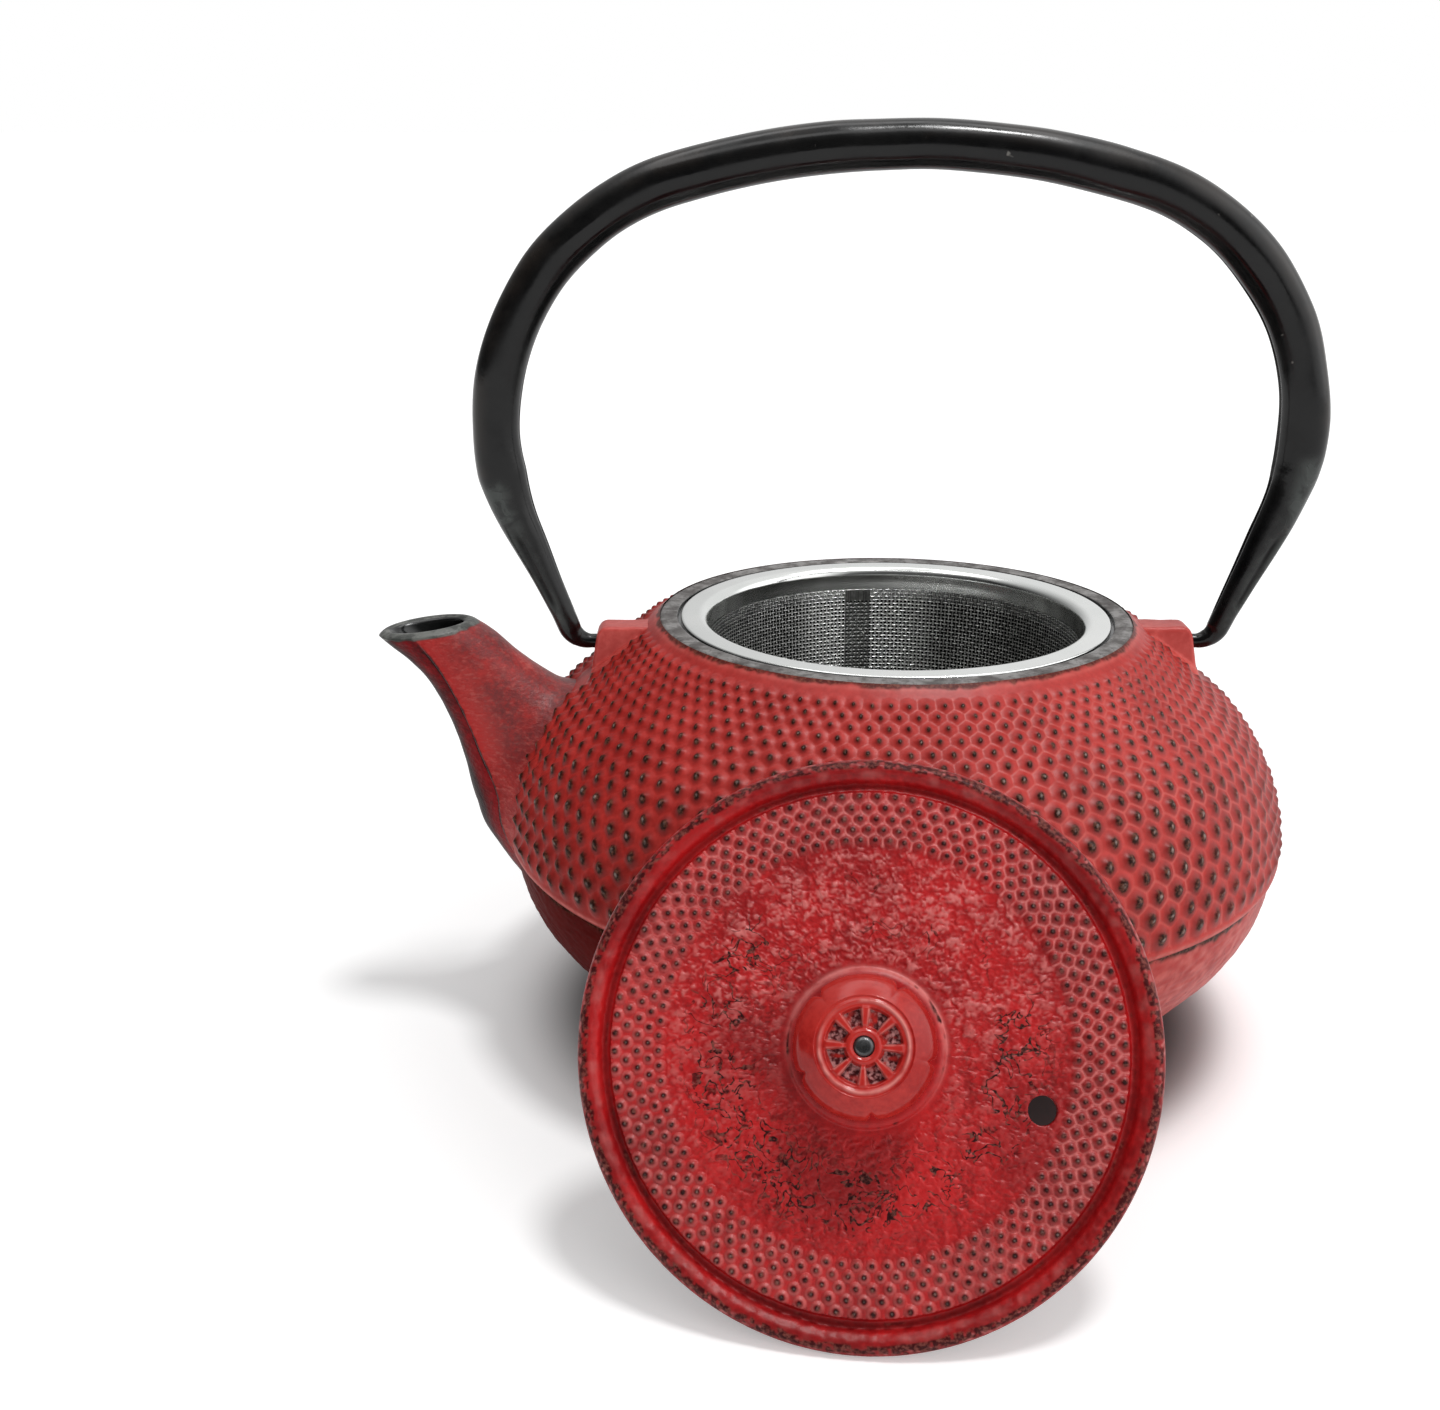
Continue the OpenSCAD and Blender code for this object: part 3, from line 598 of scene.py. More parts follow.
def nearest_studs(az, s, row_s, row_r, phases, sizes, alive, shifts):
    """The distance to the nearest stud, how much further the next one is, the nearest stud's size
    as a factor, and the distance to its worn patch, set low on the stud as painted shade. Distances are in
    pitches."""
    count = sizes.shape[1]
    first, second, worn = np.full((3,) + az.shape, FAR)
    size = np.ones(az.shape)
    for k, (sk, rk, phase) in enumerate(zip(row_s, row_r, phases)):
        pitch = rk * TAU / count
        rows = np.abs(s[:, 0] - sk) < 1.7 * pitch
        turn = (az[rows] - phase) * count / TAU
        down = (s[rows] - sk) / pitch
        for neighbour in (-1, 0, 1):
            index = np.round(turn).astype(int) + neighbour
            across = turn - index
            index = index % count
            d = np.where(alive[k][index], np.hypot(across, down), FAR)
            # rubbed paint on the tip, set a little low and drawn out downward as painted shade on the stud's
            # lower side
            patch = np.hypot(across - shifts[0][k][index], (down - 0.07 - shifts[1][k][index]) * 0.8)
            closer = d < first[rows]
            second[rows] = np.where(closer, first[rows], np.minimum(second[rows], d))
            size[rows] = np.where(closer, sizes[k][index], size[rows])
            worn[rows] = np.where(closer, patch, worn[rows])
            first[rows] = np.where(closer, d, first[rows])
    return first, second - first, size, worn


def stud_height(d, size):
    dome = np.clip(1 - (d / 0.60) ** 2, 0, 1)
    return size * (0.46 * dome + 0.58 * hump(d, 0, 0.20))


# ---------------------------------------------------------------- pot pieces

def studded_shoulder(lacquer):
    cols = STUDS_ROUND * 14
    p, n, s, d = along_line(upper_line, 0.2)
    row_s = np.interp(STUD_ROW_Z, upper_line[::-1, 1], d[::-1])
    row_r = np.interp(row_s, d, upper_line[:, 0])
    phases = STUD_PHASE + np.arange(len(row_r)) % 2 * 0.5 * TAU / STUDS_ROUND
    alive = []
    for z, r, phase in zip(STUD_ROW_Z, row_r, phases):
        a = phase + circle(STUDS_ROUND)
        from_spout = np.abs(a % TAU - math.pi) / RAD
        at_ear = (np.abs(r * np.sin(a)) < EAR_HALF_W + 1.7) & (r < EAR_X + 2.5)
        alive.append((from_spout > np.interp(z, *SPOUT_GAP)) & ~at_ear)
    chance = np.random.default_rng(5)
    sizes = chance.uniform(0.88, 1.10, (len(row_s), STUDS_ROUND))
    shifts = chance.uniform(-0.05, 0.05, (2, len(row_s), STUDS_ROUND))
    az, ss = np.meshgrid(circle(cols), s)
    near, crease, size, worn = nearest_studs(az, ss, row_s, row_r, phases, sizes, alive, shifts)

    rings = turned(p, cols)
    x = rings[..., 0]
    # flatter studs on the right, taller ones on the left
    side = 1 - 0.28 * step(35, 64, x) + 0.15 * step(10, 50, -x)
    pitch = np.interp(ss, row_s, row_r * TAU / STUDS_ROUND)
    rise = stud_height(near, size) * side * pitch / BELLY_PITCH
    edge = 0.18 * hump(s, s[-1] - 0.5, 0.5)[:, None]
    soft = cast_noise(rings, 1.6, 3) * 0.03 + cast_noise(rings, 6.0, 4) * 0.05
    lift = rise + edge + soft * step(0, 1.0, ss)
    points = rings + polar(n[:, :1], circle(cols), n[:, 1:]) * lift[..., None]
    # the crest rolls over into the parting step
    last = points[-1]
    wander = cast_noise(last * [1, 1, 0], 5.0, 9) * 0.12
    inward_way = polar(1.0, circle(cols), 0.0)
    lips = []
    for inward, down in ((0.05, 0.18), (0.25, 0.42), (0.62, 0.60), (1.3, 0.78), (2.6, 0.9)):
        lips.append(last - inward_way * inward - UP * (down + wander * min(1, inward * 2))[:, None])
    points = np.concatenate([points, lips])

    rows = len(points)
    wear = 0.66 + 0.46 * step(0.1, 0.9, ss / s[-1]) + cast_noise(rings, 22.0, 14) * 0.16
    stud = padded(np.minimum(worn / wear, 1.0), rows, cols, 1.0)
    # the paler crease lines are partly paler paint and partly painted sheen: they fade out on the left, away
    # from the light
    seen = step(-35.0, 35.0, x + cast_noise(rings, 18.0, 15) * 12)
    crease = padded(np.where(near < 0.75, np.minimum(crease + 0.11 * (1 - seen), 1), 1.0), rows, cols, 1.0)
    # a painted highlight along the parting crest and near the rim
    pale_and_sheen = padded((hump(s, s[-1] - 0.1, 0.5) + 0.5 * hump(s, 1.0, 0.5))[:, None], rows, cols)
    rim_edge = padded(hump(s, 0, 1.0)[:, None], rows, cols)
    ragged = cast_noise(points, 0.8, 12) + cast_noise(points, 2.6, 13)
    bare = step(0.30, 0.85, rim_edge + 0.30 * ragged * step(0.05, 0.3, rim_edge)) * 0.85
    # the lips that roll under into the parting step go dark: painted shade under the ledge
    bare[-4:] = np.maximum(bare[-4:], 0.9)
    east = points[..., 0]
    skin("studded_shoulder", points, [lacquer], POT, "pot_body", flip=True,
         masks={"stud": stud, "crease": crease, "bare": bare, "pale_and_sheen": pale_and_sheen,
                "fresh": 0.75 * step(40, 66, east), "dry": 0.50 * step(10, 55, -east)})


def lower_bowl(lacquer):
    brow = [[BELLY_R - LEDGE - 2.0, BELLY_Z - 0.1], [BELLY_R - LEDGE - 0.1, BELLY_Z - 0.25]]
    line = np.concatenate([dense(np.concatenate([brow, lower_line[2:]]), 0.55),
                           arc(FOOT_R - FOOT_EDGE, FOOT_EDGE, FOOT_EDGE, -30, -90, 6)])
    rings = turned(line, 700)
    flat = rings * [1, 1, 0]
    under = BELLY_Z - rings[..., 2]
    rough = cast_noise(rings * [1, 1, 2.2], 1.5, 21) * 0.09 + cast_noise(rings, 4.0, 22) * 0.07
    fade = step(0.5, 3.0, rings[..., 2]) * step(0.1, 0.8, under)
    points = rings + flat / np.linalg.norm(flat, axis=-1, keepdims=True) * (rough * fade)[..., None]
    ragged = cast_noise(rings, 1.2, 23) * 0.35 + cast_noise(rings, 6.0, 24) * 0.3
    east = rings[..., 0] + cast_noise(rings, 9.0, 26) * 9
    # the bare field darkens the band just under the ledge as painted shade, the pale field is a painted
    # reflection on the right, the smoky field painted shade on the left
    skin("lower_bowl", points, [lacquer], POT, flip=True,
         masks={"stud": 1.0, "crease": 1.0, "bare": 1 - step(1.1, 2.0, under + ragged * 1.4),
                "rough": step(0.3, 1.5, under) * 0.8,
                "pale_and_sheen": 0.75 * step(15, 48, east) * step(-0.6, 0.5, cast_noise(rings, 1.3, 27)),
                "smoke_and_shade": 0.82 * step(5, 45, -east)})


def foot(lacquer):
    edge_r = FOOT_R - FOOT_EDGE
    rings = turned(dense([(edge_r, 0.0), (FOOT_R - 5, 0.0), (0.5, 0.0)], 1.5), 256)
    from_edge = edge_r - np.hypot(rings[..., 0], rings[..., 1])
    rings[..., 2] += 0.02 + 0.06 * (cast_noise(rings, 2.2, 25) + 1) * step(0, 3, from_edge)
    rings[0, :, 2] = 0
    skin("foot", rings, [lacquer], POT, flip=True, caps=(False, True))


def mouth_rim(iron, enamel):
    line = rounded([(MOUTH_R + 0.5, POT_H - 0.75), (MOUTH_R - 0.25, POT_H + 0.03), (SEAT_R + 0.02, POT_H),
                    (SEAT_R, SEAT_Z), (THROAT_R, SEAT_Z), (THROAT_R, THROAT_END[1]), THROAT_END],
                   [1.0, 0.35, 0.15, 0.3, 0.3], 6)
    rings = turned(dense(line, 0.5), 512)
    rings[..., 2] += cast_noise(rings, 1.8, 31) * 0.04 * (rings[..., 2] > POT_H - 0.3)
    r = np.hypot(rings[..., 0], rings[..., 1])
    skin("mouth_rim", rings, [iron, enamel], POT, masks={"stain": step(MOUTH_R - 0.5, MOUTH_R + 0.6, r)},
         zones=(r[:, 0] < SEAT_R + 0.12).astype(int))


def enamel_inside(enamel):
    shoulder = arc(SHOULDER_CENTRE, BELLY_Z, SHOULDER_R - WALL - LEDGE, SHOULDER_DEG, 0, 40)
    bowl = arc(BOWL_CENTRE, BELLY_Z, BOWL_R - WALL, 0, -BOWL_DEG, 24)
    bowl_end = lower_line[-2]
    slope = bowl_end[1] / (bowl_end[0] - FOOT_R)
    floor_r = bowl[-1, 0] - (bowl[-1, 1] - FLOOR_T) / slope
    bottom = rounded([bowl[-1], (floor_r, FLOOR_T), (0.4, FLOOR_T)], 3.0)
    line = np.concatenate([[THROAT_END], shoulder, bowl[1:], bottom[1:]])
    piece = skin("enamel_inside", turned(dense(line, 1.4), 360), [enamel], POT, caps=(False, True))
    # the way into the spout
    middle = np.array([-62.5, 0.0, 44.5])
    half_w, half_h = 13.2, 12.5
    mesh = bmesh.new()
    mesh.from_mesh(piece.data)
    gone = []
    for v in mesh.verts:
        _, y, z = np.array(v.co) / MM - middle
        if v.co.x < 0 and (y / half_w) ** 2 + (z / half_h) ** 2 < 1:
            gone.append(v)
    bmesh.ops.delete(mesh, geom=gone, context="VERTS")
    mesh.to_mesh(piece.data)
    mesh.free()


# Sections of the spout from its root to its lip: under edge, top edge, half width,
# and how far across from the under edge the parting ridge runs (cosine)
SPOUT_SECTIONS = np.array([
    # t     under x    z     top x     z    half w  ridge
    [0.00, -62.0, 25.0, -40.0, 52.0, 18.5, -0.70],
    [0.07, -68.6, 29.6, -43.0, 54.1, 17.6, -0.68],
    [0.14, -73.0, 34.6, -46.0, 56.2, 15.6, -0.63],
    [0.28, -75.9, 41.5, -50.5, 58.8, 12.6, -0.53],
    [0.44, -77.7, 49.0, -56.0, 61.1, 9.9, -0.55],
    [0.60, -80.1, 56.5, -61.5, 64.4, 8.0, -0.52],
    [0.76, -83.9, 63.8, -66.7, 68.2, 7.0, -0.42],
    [0.89, -87.9, 68.1, -71.0, 72.1, 6.75, -0.27],
    [1.00, -91.4, 71.8, -74.0, 74.1, 6.9, -0.12]])
SPOUT_L = 45.0
BORE_HALF_H, BORE_HALF_W = 6.35, 3.95      # at the lip


def spout_sections(t):
    """Middles, ways along, half heights, half widths and ridge places, on smooth curves by t."""
    x = SPOUT_SECTIONS[:, 0]
    k = np.clip(np.searchsorted(x, t) - 1, 0, len(x) - 2)
    h = x[k + 1] - x[k]
    u = (t - x[k]) / h
    columns = []
    for column in SPOUT_SECTIONS[:, 1:].T:
        slope = np.gradient(column, x)
        columns.append((2 * u**3 - 3 * u**2 + 1) * column[k] + (u**3 - 2 * u**2 + u) * h * slope[k]
                       + (3 * u**2 - 2 * u**3) * column[k + 1] + (u**3 - u**2) * h * slope[k + 1])
    under_x, under_z, top_x, top_z, width, ridge = columns
    zero = np.zeros(len(t))
    middle = np.stack([(under_x + top_x) / 2, zero, (under_z + top_z) / 2], -1)
    half = np.stack([(top_x - under_x) / 2, zero, (top_z - under_z) / 2], -1)
    height = np.linalg.norm(half, axis=1)
    return middle, half / height[:, None], height, width, ridge


def spout(lacquer, enamel):
    rows, cols = 190, 320
    t = np.linspace(0, 1, rows)
    turn = circle(cols)
    middle, along, a, w, ridge = spout_sections(t)
    c, s = np.cos(turn), np.sin(turn)
    # a little squarer than an ellipse towards the root
    full = 1 + 0.05 * (1 - t)[:, None] * np.sin(2 * turn) ** 2
    # millimetres round the section from the ridge line; positive on the top side
    side = (np.arccos(ridge)[:, None] - np.arccos(c)) * (a + w)[:, None] / 2
    ledge = 0.65 * step(0.0, 0.15, 1 - t)[:, None]
    drop = -ledge * (1 - step(-0.55, 0.0, side)) + 0.25 * ledge * hump(side, 0.25, 0.45)
    height, width = a[:, None] * full, w[:, None] * full
    swell = 1 + drop / np.hypot(height * c, width * s)
    points = ovals(middle, along, height * swell, width * swell, turn)
    # flare where the spout grows out of the belly
    clear = np.hypot(points[..., 0], points[..., 1]) - pot_r(points[..., 2])
    flare = 1.5 * np.clip(1 - clear / 5.0, 0, 2) ** 2 * (step(-0.75, 0.1, c) * 0.5 + 0.5)
    outward = points - middle[:, None]
    outward /= np.linalg.norm(outward, axis=-1, keepdims=True)
    points += outward * np.clip(flare, 0, 3.2)[..., None]
    points += outward * (cast_noise(points, 1.7, 41) * 0.035 + cast_noise(points, 7.0, 42) * 0.06)[..., None]
    # the lip rolls over and the bore goes down inside
    lip_normal = np.array([along[-1][2], 0, -along[-1][0]])
    lip_normal *= np.sign(lip_normal[2])
    f = np.arange(1, 13)[:, None] / 12
    up = 0.75 * np.sin(math.pi * np.minimum(f * 1.25, 1) * 0.62) - 0.55 * f ** 3
    rim = ovals(middle[-1] + lip_normal * up, along[-1:], a[-1] * (1 - f) + BORE_HALF_H * f,
                w[-1] * (1 - f) + BORE_HALF_W * f, turn)
    depth = np.linspace(0.985, 0.10, 60)
    middle, along, a, w, _ = spout_sections(depth)
    wall = np.interp(depth, [0.5, 0.985], [3.0, 2.45])
    bore = ovals(middle, along, (a - wall)[:, None], (w - 3.0)[:, None], turn)
    everything = np.concatenate([points, rim, bore])

    size = everything.shape[:2]
    from_lip = (1 - t)[:, None] * SPOUT_L
    smoke_and_shade = step(0.25, 0.45, t) * (1 - 0.3 * step(0.9, 1.0, t))
    zones = np.zeros(size[0], int)
    zones[rows + len(rim) - 3:] = 1
    skin("spout", everything, [lacquer, enamel], POT, flip=True, zones=zones,
         masks={"above_ridge": padded(side, *size, 20.0),
                "bare": padded(1 - step(0.3, 1.0, from_lip + cast_noise(points, 1.5, 43) * 0.5), *size, 1.0),
                "ridge": padded(step(0.03, 0.12, 1 - t)[:, None], *size),
                "smoke_and_shade": padded(smoke_and_shade[:, None], *size),
                "upper": padded(step(-0.2, 0.1, side) * step(0.3, 0.5, t)[:, None], *size)})


EAR_ROOT_X, EAR_EYE_Z = 42.4, 68.0


def ear(name, sign, lacquer, iron):
    """A pierced ear with soft edges, its outer face slanted and unpainted; a small bead runs round its foot.
    """
    corner, edge = 1.6, 0.8
    slant = math.tan(10 * RAD)
    from_face = np.concatenate([np.linspace(EAR_X - EAR_ROOT_X, corner, 30),
                                corner - corner * np.sin(np.linspace(6, 90, 18) * RAD)])
    even = np.linspace(0, 1, 120)
    rows = []
    for d in from_face:
        over = max(0.0, corner - d)
        top = EAR_TOP - corner + math.sqrt(max(corner ** 2 - over ** 2, 0))
        half = EAR_HALF_W - edge + math.sqrt(max(edge ** 2 - max(0.0, edge - d) ** 2, 0))
        x = EAR_X - d
        free = step(44.0, 46.5, x)

        def base(y, rise=0.0):
            ground = float(np.interp(math.hypot(x, y), upper_line[:, 0], upper_line[:, 1]))
            return ground + rise * free - 0.5 * (1 - free)
        side = [(half + 2.6, base(half + 2.6, -1.4)), (half + 1.7, base(half + 1.7)),
                (half + 1.1, base(half + 1.1, 0.50)), (half + 0.55, base(half + 0.55, 0.30)),
                (half + 0.2, min(base(half, 0.9), top - 0.3)), (half - 0.05, top)]
        soft = [0.5, 0.45, 0.5, 0.5, 0.85]
        ring = dense(rounded(side + [(-y, z) for y, z in side[::-1]], soft + soft[::-1]), 0.5)
        far = run_of(ring)
        y, z = (np.interp(even, far / far[-1], ring[:, k]) for k in (0, 1))
        out = x + (PIN_Z - z) * slant * (x - EAR_ROOT_X) / (EAR_X - EAR_ROOT_X)
        rows.append(np.stack([out, y, z], -1))
    middle = np.array([EAR_X + (PIN_Z - EAR_EYE_Z) * slant, 0.0, EAR_EYE_Z])
    face = [middle + (rows[-1] - middle) * shrink for shrink in (0.95, 0.80, 0.55, 0.30, 0.10)]
    points = np.array(rows + face)
    points += (cast_noise(points, 2.0, 51)[..., None] * np.array([0, 0.04, 0.04])
               + cast_noise(points, 0.9, 52)[..., None] * 0.015)
    zones = np.zeros(len(points), int)
    zones[len(rows) - 3:] = 1
    if sign < 0:
        points = points * [-1, -1, 1]
    skin(name, points, [lacquer, iron], POT, wrap=False, zones=zones)


# ---------------------------------------------------------------- bail

HIGH_UP = 999.0      # stands for the distance from the ankle anywhere on the top of the bail


def bail_path(tube_r, hook_r):
    """Half of the bail's middle line as (x, z, heading, distance from the ankle), and the leg's turn."""
    corner_r, top_turn, reach_x, top_edge = 43.0, 16.2 * RAD, 69.2, 159.2
    hook = np.array([EAR_X + HOOK_GAP, PIN_Z + hook_r])
    top_z = top_edge - tube_r
    top_r = (reach_x - corner_r * (1 - math.sin(top_turn))) / math.sin(top_turn)
    corner = np.array([0, top_z - top_r])
    corner = corner + (top_r - corner_r) * np.array([math.sin(top_turn), math.cos(top_turn)])
    reach = hook - corner
    far = np.linalg.norm(reach)
    leg_a = math.pi / 2 - math.atan2(reach[1], reach[0]) - math.acos((corner_r - hook_r) / far)
    leg_l = math.sqrt(far ** 2 - (corner_r - hook_r) ** 2)

    def bend(centre, radius, turns, rest):
        x = centre[0] + radius * np.sin(turns)
        z = centre[1] + radius * np.cos(turns)
        return np.stack([x, z, turns, rest + np.zeros(len(turns))], -1)
    top = np.linspace(0, top_turn, 60)
    shoulder = np.linspace(top_turn, leg_a, 110)[1:]
    leg = np.linspace(leg_l, 0, 60)[1:]
    ankle = np.linspace(leg_a, math.pi, 22)[1:]
    pin = np.linspace(hook[0], EAR_X - PIN_L, 10)[1:]
    foot_of_leg = bend(hook, hook_r, np.full(len(leg), leg_a), leg)
    foot_of_leg[:, 0] -= leg * math.cos(leg_a)
    foot_of_leg[:, 1] += leg * math.sin(leg_a)
    half = np.concatenate([
        bend((0, top_z - top_r), top_r, top, HIGH_UP),
        bend(corner, corner_r, shoulder, leg_l + corner_r * (leg_a - shoulder)),
        foot_of_leg,
        bend(hook, hook_r, ankle, -hook_r * (ankle - leg_a)),
        np.stack([pin, np.full(len(pin), PIN_Z), np.full(len(pin), math.pi), -10 - (hook[0] - pin)], -1)])
    return half, leg_a


def bail(finish):
    tube_r, ankle_r, pin_r, hook_r, taper_l, sides = 4.2, 1.95, 1.25, 4.0, 30.0, 72
    half, leg_a = bail_path(tube_r, hook_r)
    path = np.concatenate([half[::-1][:-1] * [-1, 1, -1, 1], half])
    x, z, heading, rest = path.T
    radius = np.interp(rest, [-30, -hook_r * (math.pi - leg_a), 0, taper_l, HIGH_UP],
                       [pin_r, pin_r, ankle_r, tube_r, tube_r])
    turn = circle(sides)
    c, s = np.cos(turn), np.sin(turn)
    # the rolled sheet ends in a beaten taper, flattened on the outer side
    before_end = np.where(x < 0, 31.0, 35.0) - rest
    taper = step(0.5, 3.5, before_end) * step(-1.0, 4.0, rest)
    flat = 0.16 * taper * step(0, 12, before_end)
    size = radius[:, None] * (1 - flat[:, None] * np.clip(c, 0, 1) ** 2)
    # a groove is pressed along it on the front and back faces
    groove_on = band(3.0, 7.0, 17.0, 22.0, rest)[:, None]
    groove_w = 0.34
    across = np.minimum(np.abs(turn - 75 * RAD), np.abs(turn - 285 * RAD))
    size = size - 0.8 * groove_on * (radius / tube_r)[:, None] * hump(across, 0, groove_w)
    # the open seam on the inner side
    seam = step(2.0, 6.0, rest)[:, None] * (np.abs(turn - math.pi) < 1.6 * TAU / sides)
    size = size - 0.9 * seam
    on_tube = np.stack([x, z, x * 0], -1)[:, None] + np.stack([c * 4, s * 4, s * 0], -1)
    size = size * (1 + cast_noise(on_tube, 9.0, 61) * 0.05 * (radius > 1.6)[:, None])
    normal = np.stack([np.sin(heading), x * 0, np.cos(heading)], -1)
    points = ovals(np.stack([x, x * 0, z], -1), normal, size, size, turn)
    skin("bail", points, [finish], BAIL, "bail", flip=True, caps=(True, True),
         masks={"beaten": taper[:, None] * step(-0.35, 0.45, c + 0.2 * np.abs(s)),
                "hollow_shade": np.clip(groove_on * hump(across, 0, groove_w * 0.8) * 1.1 + seam, 0, 1),
                "outer_side": step(0.1, 0.9, c) * (rest > 30)[:, None]})


# ---------------------------------------------------------------- infuser

FLANGE_R, OPENING_R, COLLAR_Z, BASKET_Z = 37.75, 33.0, 69.2, 26.6
COLLAR_T, LAP = 0.6, 2.3           # sheet of the collar; how far the mesh reaches up inside it
MESH_R, BASKET_R, MESH_Z = OPENING_R - 0.42, 31.0, BASKET_Z + 0.6


def infuser(polished, woven):
    top = SEAT_Z + 1.0
    outer = OPENING_R + COLLAR_T
    line = rounded([(outer, COLLAR_Z), (outer, SEAT_Z), (FLANGE_R, SEAT_Z), (FLANGE_R, top - 0.05),
                    (OPENING_R + 1.0, top), (OPENING_R, top - 0.9), (OPENING_R, COLLAR_Z + 4.0),
                    (OPENING_R - 0.3, COLLAR_Z + 1.4), (OPENING_R, COLLAR_Z), (outer, COLLAR_Z)],
                   [0.2, 0.12, 0.45, 1.0, 0.8, 0.8, 0.8, 0.1], 6)
    skin("infuser_rim", turned(dense(line, 1.2), 360), [polished], INFUSER, "infuser_rim")

    cols = 360
    line = dense([(MESH_R, COLLAR_Z + LAP), (MESH_R, COLLAR_Z + 0.4), (BASKET_R - 0.05, MESH_Z)], 1.0)
    piece = skin("infuser_mesh_wall", turned(line, cols), [woven], INFUSER, "infuser_mesh_wall", flip=True,
                 masks={"along": np.linspace(0, 1, len(line))[:, None]})
    seamless_turn(piece, cols)

    # the scales give the floor's cloth the wall's wire spacing
    rings = turned([(r, MESH_Z + 0.3) for r in np.linspace(BASKET_R - 0.7, 0.3, 24)], 180)
    skin("infuser_mesh_floor", rings, [woven], INFUSER, "infuser_mesh_floor", flip=True,
         masks={"along": rings[..., 1] / 46.0, "around": rings[..., 0] / 204.0})

    inner, outer, low, high = BASKET_R + 0.15, BASKET_R + 0.75, BASKET_Z, BASKET_Z + 4.0
    line = rounded([(inner, high), (BASKET_R + 0.12, low + 0.62), (BASKET_R - 5, low + 0.58),
                    (BASKET_R - 5, low), (outer, low), (outer, high), (inner, high)],
                   [0.1, 0.2, 0.2, 0.6, 0.2], 5)
    skin("infuser_bottom_band", turned(dense(line, 1.5), 300), [polished], INFUSER, "infuser_bottom_band",
         flip=True)


def infuser_seam(woven):
    """The lap where the mesh's ends meet: a narrow strip up the inside of the wall."""
    z = np.linspace(30.7, COLLAR_Z + LAP - 0.1, 40)
    r = np.interp(z, [MESH_Z, COLLAR_Z + 0.4, COLLAR_Z + LAP], [BASKET_R, MESH_R, MESH_R]) - 0.06
    half = 2.5 / OPENING_R
    turn = 97 * RAD + half * np.array([-1.0, -0.97, -0.9, -0.5, 0.0, 0.5, 0.9, 0.97, 1.0])
    deep = np.array([0.0, 0.16, 0.22, 0.22, 0.18, 0.22, 0.22, 0.16, 0.0])
    skin("infuser_seam", polar(r[:, None] - deep, turn, z[:, None]), [woven], INFUSER, "infuser_seam",
         wrap=False, flip=True,
         masks={"along": np.interp(z, [MESH_Z, COLLAR_Z], [1.0, 0.05])[:, None], "around": turn / TAU})


def seamless_turn(piece, cols):
    """The around field as a share of a turn, on the corners of faces, so it has no jump."""
    mesh = piece.data
    index = np.zeros(len(mesh.loops), np.int32)
    mesh.loops.foreach_get("vertex_index", index)
    share = (index % cols / cols).reshape(-1, 4)
    jump = np.ptp(share, axis=1, keepdims=True) > 0.5
    share = np.where(jump & (share < 0.5), share + 1, share)
    attribute = mesh.attributes.new("around", "FLOAT", "CORNER")
    attribute.data.foreach_set("value", share.astype(np.float32).reshape(-1))


# ---------------------------------------------------------------- lid

LEAN, TURN = 30 * RAD, 7 * RAD
LID_LIFT, LID_BACK = 34.885, -83.414
CROWN, PLATE_T, BOSS_R, BOSS_TOP, SKIRT_R, SKIRT_H = 4.0, 2.8, 10.8, 4.8, 32.1, 7.0
LID_STUDS = 88
LID_ROW_R = np.array([35.4, 33.75, 32.15, 30.6, 29.1])
VENT_AT, VENT_TURN, VENT_R = 25.4, -16 * RAD, 2.05


def leaned(p):
    """Points drawn on the flat lid, as it leans on the pot."""
    x, v, h = np.moveaxis(p, -1, 0)
    y = LID_BACK + v * math.sin(LEAN) - h * math.cos(LEAN)
    z = LID_LIFT + v * math.cos(LEAN) + h * math.sin(LEAN)
    c, s = math.cos(TURN), math.sin(TURN)
    return np.stack([x * c + y * s, -x * s + y * c, z], -1)


